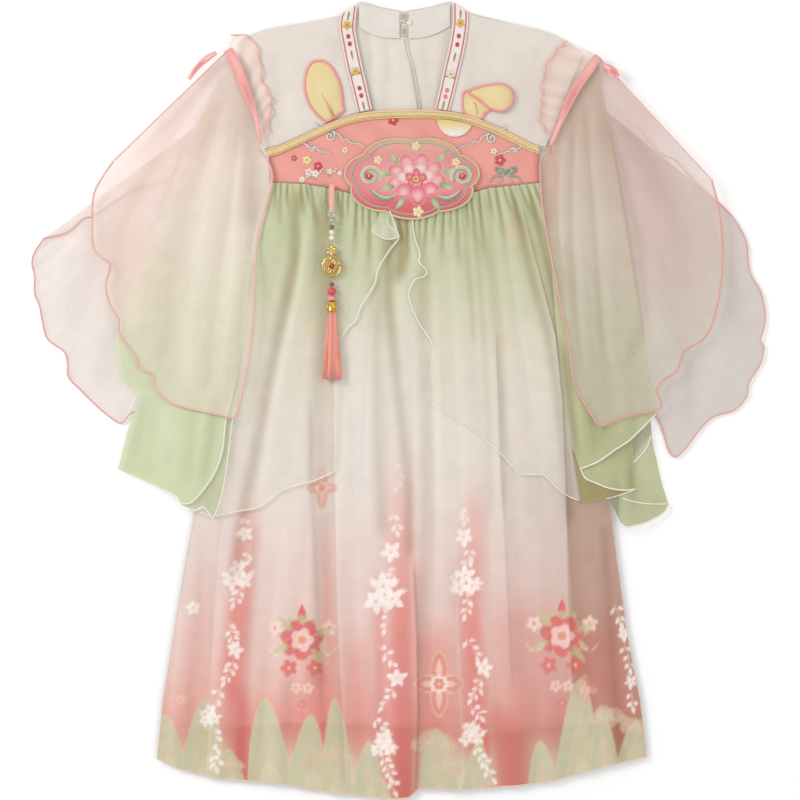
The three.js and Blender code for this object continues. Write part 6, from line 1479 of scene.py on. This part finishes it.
# a small ribbon bow at the right
bx1, by1 = 108, 228
q = np.linspace(0, 2 * math.pi, 40)
for sgn in (-1, 1):
    for g, w_, c_ in ((1.0, 0.9, (126, 162, 132)), (0.6, 0.7, (186, 208, 182))):
        lx, ly = 5.2 - 5.2 * np.cos(q), 3.0 * np.sin(q) * (0.35 + 0.65 * (0.5 - 0.5 * np.cos(q)))
        E.tube(np.column_stack([bx1 + sgn * lx * g, by1 + (ly * g + lx * g * 0.28), np.full(40, zb + 0.5)]), w_, c_, n=6, flat=0.6)
    t = np.linspace(0, 1, 24)
    E.tube(np.column_stack([bx1 + sgn * (3 + 13 * t), by1 - 9 * t - 1.6 * np.sin(t * 7), np.full(24, zb + 0.4)]), 1.1, (140, 174, 144), n=6, flat=0.5, taper=np.linspace(1, 0.4, 24))
    E.tube(np.column_stack([bx1 + sgn * (1 + 6 * t), by1 - 11 * t + 1.0 * np.sin(t * 6), np.full(24, zb + 0.4)]), 0.9, (178, 202, 176), n=6, flat=0.5, taper=np.linspace(1, 0.4, 24))
E.pad(bx1, by1, 2.2, 2.0, 0, zb + 0.5, 0.9, (118, 156, 126), n=14)
E.obj("band_embroidery", "stitch", slot="embroidery")
# moon
a_ = np.linspace(math.pi, 2 * math.pi, 60)
r_ = np.linspace(0, 1, 22)
R2, A2 = np.meshgrid(r_, a_, indexing="ij")
mx, my = 57 + 18 * R2 * np.cos(A2), 281.4 + 18 * R2 * np.sin(A2)
my = np.minimum(my, band_top(mx) - 6.4)
mz = Z_BAND_TOP + 0.3 + 1.5 * np.sqrt(np.clip(1 - R2 ** 2 * 0.97, 0, 1)) ** 0.7
cm = mix((236, 200, 116), (246, 238, 226), sm((282 - my) / 17))
ob = mesh_obj("moon_embroidery", np.stack([mx, my, mz], -1), grid_faces(22, 60)[:, ::-1], cm, "stitch", replaces=["moon_patch"])

# -------------------------------------------------------------------- ears
def outline_mesh(name, pts, z, h, colfn, mat, node=None, rings=12, n=120, centre=None, sheet=None):
    ring = pts + [pts[0]]
    p = np.array([(q["x"], q["y"]) for q in ring], float)
    # closed Catmull-Rom
    K = len(pts)
    t = np.linspace(0, K, n, endpoint=False)
    i = t.astype(int)
    f = (t - i)[:, None]
    q = np.array([(w["x"], w["y"]) for w in pts], float)
    A_, B_, C_, D_ = q[(i - 1) % K], q[i % K], q[(i + 1) % K], q[(i + 2) % K]
    c = B_ + 0.5 * f * (C_ - A_ + f * (2 * A_ - 5 * B_ + 4 * C_ - D_ + f * (3 * (B_ - C_) + D_ - A_)))
    m = q.mean(0) if centre is None else np.array(centre)
    r = np.linspace(0.02, 1, rings)
    Xg = m[0] + (c[:, 0] - m[0])[None] * r[:, None]
    Yg = m[1] + (c[:, 1] - m[1])[None] * r[:, None]
    Zg = z + h * np.sqrt(np.clip(1 - r ** 2.6, 0, 1))[:, None] + 0 * Xg
    F = grid_faces(rings, n, True).tolist()
    cap = list(range(n))
    area2 = float(np.sum(Xg[0] * np.roll(Yg[0], -1) - np.roll(Xg[0], -1) * Yg[0]))
    a_, b_, c_ = (np.array([Xg.ravel()[i], Yg.ravel()[i]]) for i in F[0][:3])
    up = (b_ - a_)[0] * (c_ - a_)[1] - (b_ - a_)[1] * (c_ - a_)[0]
    F.append(cap if (area2 > 0) == (up > 0) else cap[::-1])
    V = np.stack([Xg, Yg, Zg], -1)
    nrm = np.cross(V[1, 0] - V[0, 0], V[0, 1] - V[0, 0])[2]
    ob = mesh_obj(name, V, F, colfn(Xg, Yg, r[:, None] + 0 * Xg), mat, replaces=[node] if node else (), slot="ear_yellow")
    return ob, np.column_stack([c, np.full(n, z + 0.2)])
EARL = []
L_t = np.linspace(0, 1, 14)
cx, cy, w = curve(EAR_LEFT, L_t, "x"), curve(EAR_LEFT, L_t, "y"), curve(EAR_LEFT, L_t, "w")
tx, ty = np.gradient(cx), np.gradient(cy)
l = np.hypot(tx, ty)
lft = [dict(x=cx[i] - ty[i] / l[i] * w[i] / 2, y=cy[i] + tx[i] / l[i] * w[i] / 2) for i in range(14)]
rgt = [dict(x=cx[i] + ty[i] / l[i] * w[i] / 2, y=cy[i] - tx[i] / l[i] * w[i] / 2) for i in range(14)]
ear_l = lft + rgt[::-1]
def ear_col(x, y, r):
    c = mix((226, 206, 154), (218, 194, 138), 0.6 * np.clip(0.5 + wob(x * 1.4 + y * 0.4, 91, 5, 0.08, 0.3), 0, 1))
    # painted highlight: lighter towards the middle of the domed pad
    return mix(c, (232, 217, 174), 0.4 * sm(1 - r))
EP = Batch()
ob, rim = outline_mesh("ear_left_pad", ear_l, Z_YOKE_TOP + 0.6, 2.2, ear_col, "cotton", "ear_left", centre=(-74, 310))
EP.tube(np.vstack([rim, rim[:1]]), 1.35, (228, 150, 146), n=8)
# darker lines along the ear's folds: painted crease shade
q = np.linspace(0, 1, 16)
for k_ in (0, 1):
    EP.tube(np.column_stack([-74 + k_ * 5 + (9.5 - 3 * k_) * q, 300 + k_ * -2 - (19 - 2 * k_) * q, Z_YOKE_TOP + 2.6 - 0.6 * q]), 0.45, (206, 166, 96), n=6, flat=0.6, taper=np.sin(np.clip(q, 0.04, 0.96) * math.pi) ** 0.6)
EP.tube(np.column_stack([-77 + 12.5 * q + 1.5 * np.sin(q * 3), 307 - 26 * q, Z_YOKE_TOP + 2.9 - 0.9 * q]), 0.8, (224, 158, 96), n=6, flat=0.6, taper=np.sin(np.clip(q, 0.04, 0.96) * math.pi) ** 0.6)
ob, rim = outline_mesh("ear_right_stem", EAR_RIGHT_STEM, Z_YOKE_TOP + 0.4, 1.3, ear_col, "cotton", None, centre=(76, 294))
EP.tube(np.vstack([rim, rim[:1]]), 1.2, (228, 150, 146), n=8)
# darker line along the stem's fold: painted crease shade
EP.tube(np.column_stack([76 + 3 * np.sin(q * 2), 298 - 12 * q, Z_YOKE_TOP + 1.9 + 0 * q]), 0.6, (226, 164, 110), n=6)
ob, rim = outline_mesh("ear_right_fold", EAR_RIGHT_FLAP, Z_YOKE_TOP + 2.3, 2.0, ear_col, "cotton", "ear_right", centre=(95, 303))
EP.tube(np.vstack([rim, rim[:1]]), 1.3, (228, 150, 146), n=8)
EP.obj("ear_piping", "satin", slot="piping_pink")

# ----------------------------------------------------------- small fittings
b = Batch()
b.pad(11.5, 378, 2.8, 2.8, 0, Z_INNER + 1.4, 1.0, (228, 220, 210), n=18, rings=5)
b.obj("back_button_pearl", "pearl", replaces=["back_button"])
b = Batch()
q = np.linspace(0, 1, 20)
b.tube(np.column_stack([0 + 8 * q, 378 + 1.6 * np.sin(q * math.pi), Z_INNER + 1.9 + 0 * q]), 0.55, (232, 224, 214), n=6)
b.obj("button_loop_cord", "cotton", replaces=["button_loop"])
PX, PZ = -66, 12.6
q = np.linspace(0, 1, 40)
s = np.linspace(-0.5, 0.5, 9)
ly, lz = 215.5 - 27.5 * q, 7.2 + 6.4 * q + 1.2 * np.sin(q * math.pi) * 0.3
Xl = PX + s[None] * (5.2 - 2.0 * sm((q - 0.66) / 0.28))[:, None]
# painted sheen: the loop ribbon is lighter down its middle and darker at its edges
grid_obj("pendant_loop_ribbon", np.stack([Xl, ly[:, None] + 0 * Xl, lz[:, None] + 0.9 + 0.35 * np.cos(s * 3.1)[None] + 0 * Xl], -1), mix((240, 176, 166), (226, 146, 138), np.abs(s)[None] * 1.6 + 0 * Xl), "satin", sheet=["band_front_cloth"], replaces=["pendant_loop"], strip=True)

def lathe(batch, y, prof, col, n=24, flat=1.0):
    """prof: list of (radius, dy); turned about the pendant's thread."""
    R = []
    for r, dy in prof:
        R.append([[PX + r * math.cos(2 * math.pi * k / n), y + dy, PZ + flat * r * math.sin(2 * math.pi * k / n)] for k in range(n)])
    F = grid_faces(len(prof), n, True).tolist()
    F.append(list(range(n))[::-1])
    F.append([(len(prof) - 1) * n + k for k in range(n)])
    batch.add(np.array(R), F, col)
def ball(batch, y, r, half, col):
    lathe(batch, y, [(max(0.5, r * math.sqrt(max(0, 1 - (k / 8) ** 2))), half * k / 8) for k in range(-8, 9)], col)
b = Batch()
ball(b, 172.4, 2.7, 2.4, (132, 84, 52))
b.obj("bead_brown_upper_glass", "bead", PD, ["bead_brown_upper"], "bead_brown")
b = Batch()
ball(b, 115.4, 2.5, 2.3, (128, 82, 54))
b.obj("bead_brown_lower_glass", "bead", PD, ["bead_brown_lower"], "bead_brown")
for nm, y in (("upper", 167.1), ("lower", 161.7)):
    b = Batch()
    ball(b, y, 2.65, 2.5, (240, 228, 210))
    b.obj("bead_pearl_%s_shell" % nm, "pearl", PD, ["bead_pearl_" + nm])
b = Batch()
ball(b, 108.5, 4.6, 4.1, (212, 66, 66))
b.obj("bead_coral_glass", "bead", PD, ["bead_coral"])
b = Batch()
lathe(b, 101.6, [(4.3, -2.2), (4.5, -1.4), (4.3, 0.0), (3.4, 1.2), (1.6, 2.1), (0.8, 2.3)], (236, 150, 142))
for k in range(5):
    lathe(b, 99.6 + k * 0.9, [(4.6 - k * 0.55, -0.3), (4.85 - k * 0.6, 0), (4.6 - k * 0.55, 0.3)], (228, 132, 126))
b.obj("knot_dome_cord", "satin", PD, ["knot_dome"], "piping_pink")
b = Batch()
lathe(b, 93.7, [(4.4, -5.0), (4.6, -4.6), (4.3, -4.2), (4.35, 2.6), (4.6, 3.0), (4.0, 3.6), (2.4, 4.7), (0.9, 5.0)], (226, 184, 84))
for k in range(14):
    a0 = 2 * math.pi * k / 14
    b.tube([(PX + 4.45 * math.cos(a0), 89.6, PZ + 4.45 * math.sin(a0)), (PX + 4.45 * math.cos(a0), 96.0, PZ + 4.45 * math.sin(a0))], 0.32, (236, 200, 104), n=5)
b.obj("tassel_cap_gold", "gold", PD, ["tassel_cap"])
b = Batch()
for k in range(260):
    a0, rr0 = rng.uniform(0, 6.283), math.sqrt(rng.rand())
    w1 = 9.6 + rng.uniform(-0.5, 0.6)
    q = np.linspace(0, 1, 7)
    ph = rng.uniform(0, 6)
    xx = PX + rr0 * math.cos(a0) * (4.0 + (w1 - 4.0) * q ** 1.1) + 0.25 * np.sin(q * 7 + ph)
    zz = PZ - 0.3 + rr0 * math.sin(a0) * (3.0 + 0.7 * q) - 0.0 * q
    yy = 89.2 + (20.3 + rng.uniform(-0.2, 3.0) - 89.2) * q
    base = np.clip(np.array((252, 164, 142)) * rng.uniform(0.88, 1.06), 0, 255)
    b.tube(np.column_stack([xx, yy, zz]), 0.42, base, n=4)
b.obj("tassel_threads", "tassel", PD, ["tassel"])
b = Batch()
b.tube([(PX - 4, 188, PZ), (PX + 4, 188, PZ)], 0.7, (214, 214, 206), n=10)
b.tube([(PX - 4, 188.4, PZ), (PX - 1.7, 180.4, PZ)], 0.75, (206, 206, 198), n=10)
b.tube([(PX + 4, 188.4, PZ), (PX + 1.7, 180.4, PZ)], 0.75, (206, 206, 198), n=10)
ball(b, 179, 2.3, 2.3, (212, 212, 202))
lathe(b, 179, [(2.3, -0.5), (2.6, 0), (2.3, 0.5)], (226, 226, 216))
b.obj("clasp_metal", "silver", PD, ["clasp"])
for nm, y0, y1 in (("upper", 180, 155.8), ("lower", 122.4, 97)):
    b = Batch()
    b.tube([(PX, y0, PZ), (PX, (y0 + y1) / 2, PZ), (PX, y1, PZ)], 0.5, (228, 138, 120), n=8)
    b.obj("thread_%s_cord" % nm, "tassel", PD, ["thread_" + nm])
b = Batch()
hd, bd = 149.5 - 0.6, 133.5
q = np.linspace(0, 2 * math.pi, 41)
for k in range(6):
    t = 2 * math.pi * k / 6 + math.pi / 2
    for m_ in (1, -1):
        b.pad(PX + 3.3 * math.cos(t), hd + 3.3 * math.sin(t), 2.5, 1.9, t, PZ, 1.4 * m_, (224, 192, 122), n=18, rings=5, tip=0.2)
    b.tube([(PX + 1.6 * math.cos(t), hd + 1.6 * math.sin(t), PZ + 1.5), (PX + 4.6 * math.cos(t), hd + 4.6 * math.sin(t), PZ + 1.2)], 0.28, (240, 214, 150), n=6)
for m_ in (1, -1):
    b.pad(PX, hd, 1.9, 1.9, 0, PZ, 2.1 * m_, (232, 202, 132), n=16, rings=5)
for f_, r__ in ((1.0, 1.0), (0.88, 0.5), (0.34, 0.6)):
    b.tube(np.column_stack([PX + 9.2 * f_ * np.cos(q), bd + 10.0 * f_ * np.sin(q), PZ + 0 * q]), r__, (220, 188, 116), n=8)
for k in range(6):
    t = 2 * math.pi * k / 6 + math.pi / 2
    px_, py_ = PX + 5.5 * math.cos(t), bd + 5.9 * math.sin(t)
    ux, uy = math.cos(t), math.sin(t)
    w_ = 2.2 * np.sin(q) * (0.72 + 0.28 * np.cos(q))
    l_ = 2.6 * np.cos(q)
    b.tube(np.column_stack([px_ + ux * l_ - uy * w_, py_ + uy * l_ + ux * w_, PZ + 0.6 + 0 * q]), 0.55, (234, 206, 140), n=6)
    b.tube([(px_ - 1.6 * ux, py_ - 1.6 * uy, PZ + 0.6), (px_ + 1.2 * ux, py_ + 1.2 * uy, PZ + 0.8)], 0.36, (228, 198, 128), n=6)
    t2 = t + math.pi / 6
    b.tube([(PX + 3.0 * math.cos(t2), bd + 3.3 * math.sin(t2), PZ), (PX + 9.0 * math.cos(t2), bd + 9.8 * math.sin(t2), PZ)], 0.5, (222, 190, 118), n=6)
for m_ in (1, -1):
    b.pad(PX, bd, 2.4, 2.4, 0, PZ, 1.9 * m_, (214, 82, 74), n=16, rings=4)
b.obj("charm_gold", "gold", PD, ["charm"])

# ------------------------------------------------------------ stage, lights
bpy.ops.mesh.primitive_plane_add(size=8, location=(0, 0, -0.0006))
floor = bpy.context.object
floor.name = "floor"
fm = bpy.data.materials.new("floor")
fm.use_nodes = True
fm.node_tree.nodes["Principled BSDF"].inputs["Base Color"].default_value = (1.0, 1.0, 1.0, 1)
fm.node_tree.nodes["Principled BSDF"].inputs["Roughness"].default_value = 0.9
fm.node_tree.nodes["Principled BSDF"].inputs["Specular IOR Level"].default_value = 0.0
floor.data.materials.append(fm)
world = bpy.data.worlds.new("world")
bpy.context.scene.world = world
world.use_nodes = True
world.node_tree.nodes["Background"].inputs[0].default_value = (1, 1, 1, 1)
world.node_tree.nodes["Background"].inputs[1].default_value = 0.745
def area(name, loc, size, power):
    ld = bpy.data.lights.new(name, "AREA")
    ld.size = size
    ld.energy = power
    lo = bpy.data.objects.new(name, ld)
    lo.location = loc
    d = -np.array(loc)
    lo.rotation_euler = (math.acos(-d[2] / np.linalg.norm(d)), 0, math.atan2(d[1], d[0]) - math.pi / 2)
    bpy.context.scene.collection.objects.link(lo)
area("key", (-1.7, 1.0, 1.6), 1.0, 24)
area("fill", (1.4, -0.8, 2.2), 1.8, 9)
bpy.context.scene.view_settings.view_transform = "Standard"
cam = bpy.data.cameras.new("camera")
cam.lens = 100
cam.sensor_width = 36
co = bpy.data.objects.new("camera", cam)
co.location = (0.002, 0, 2.2222 + 0.006)
bpy.context.scene.collection.objects.link(co)
bpy.context.scene.camera = co
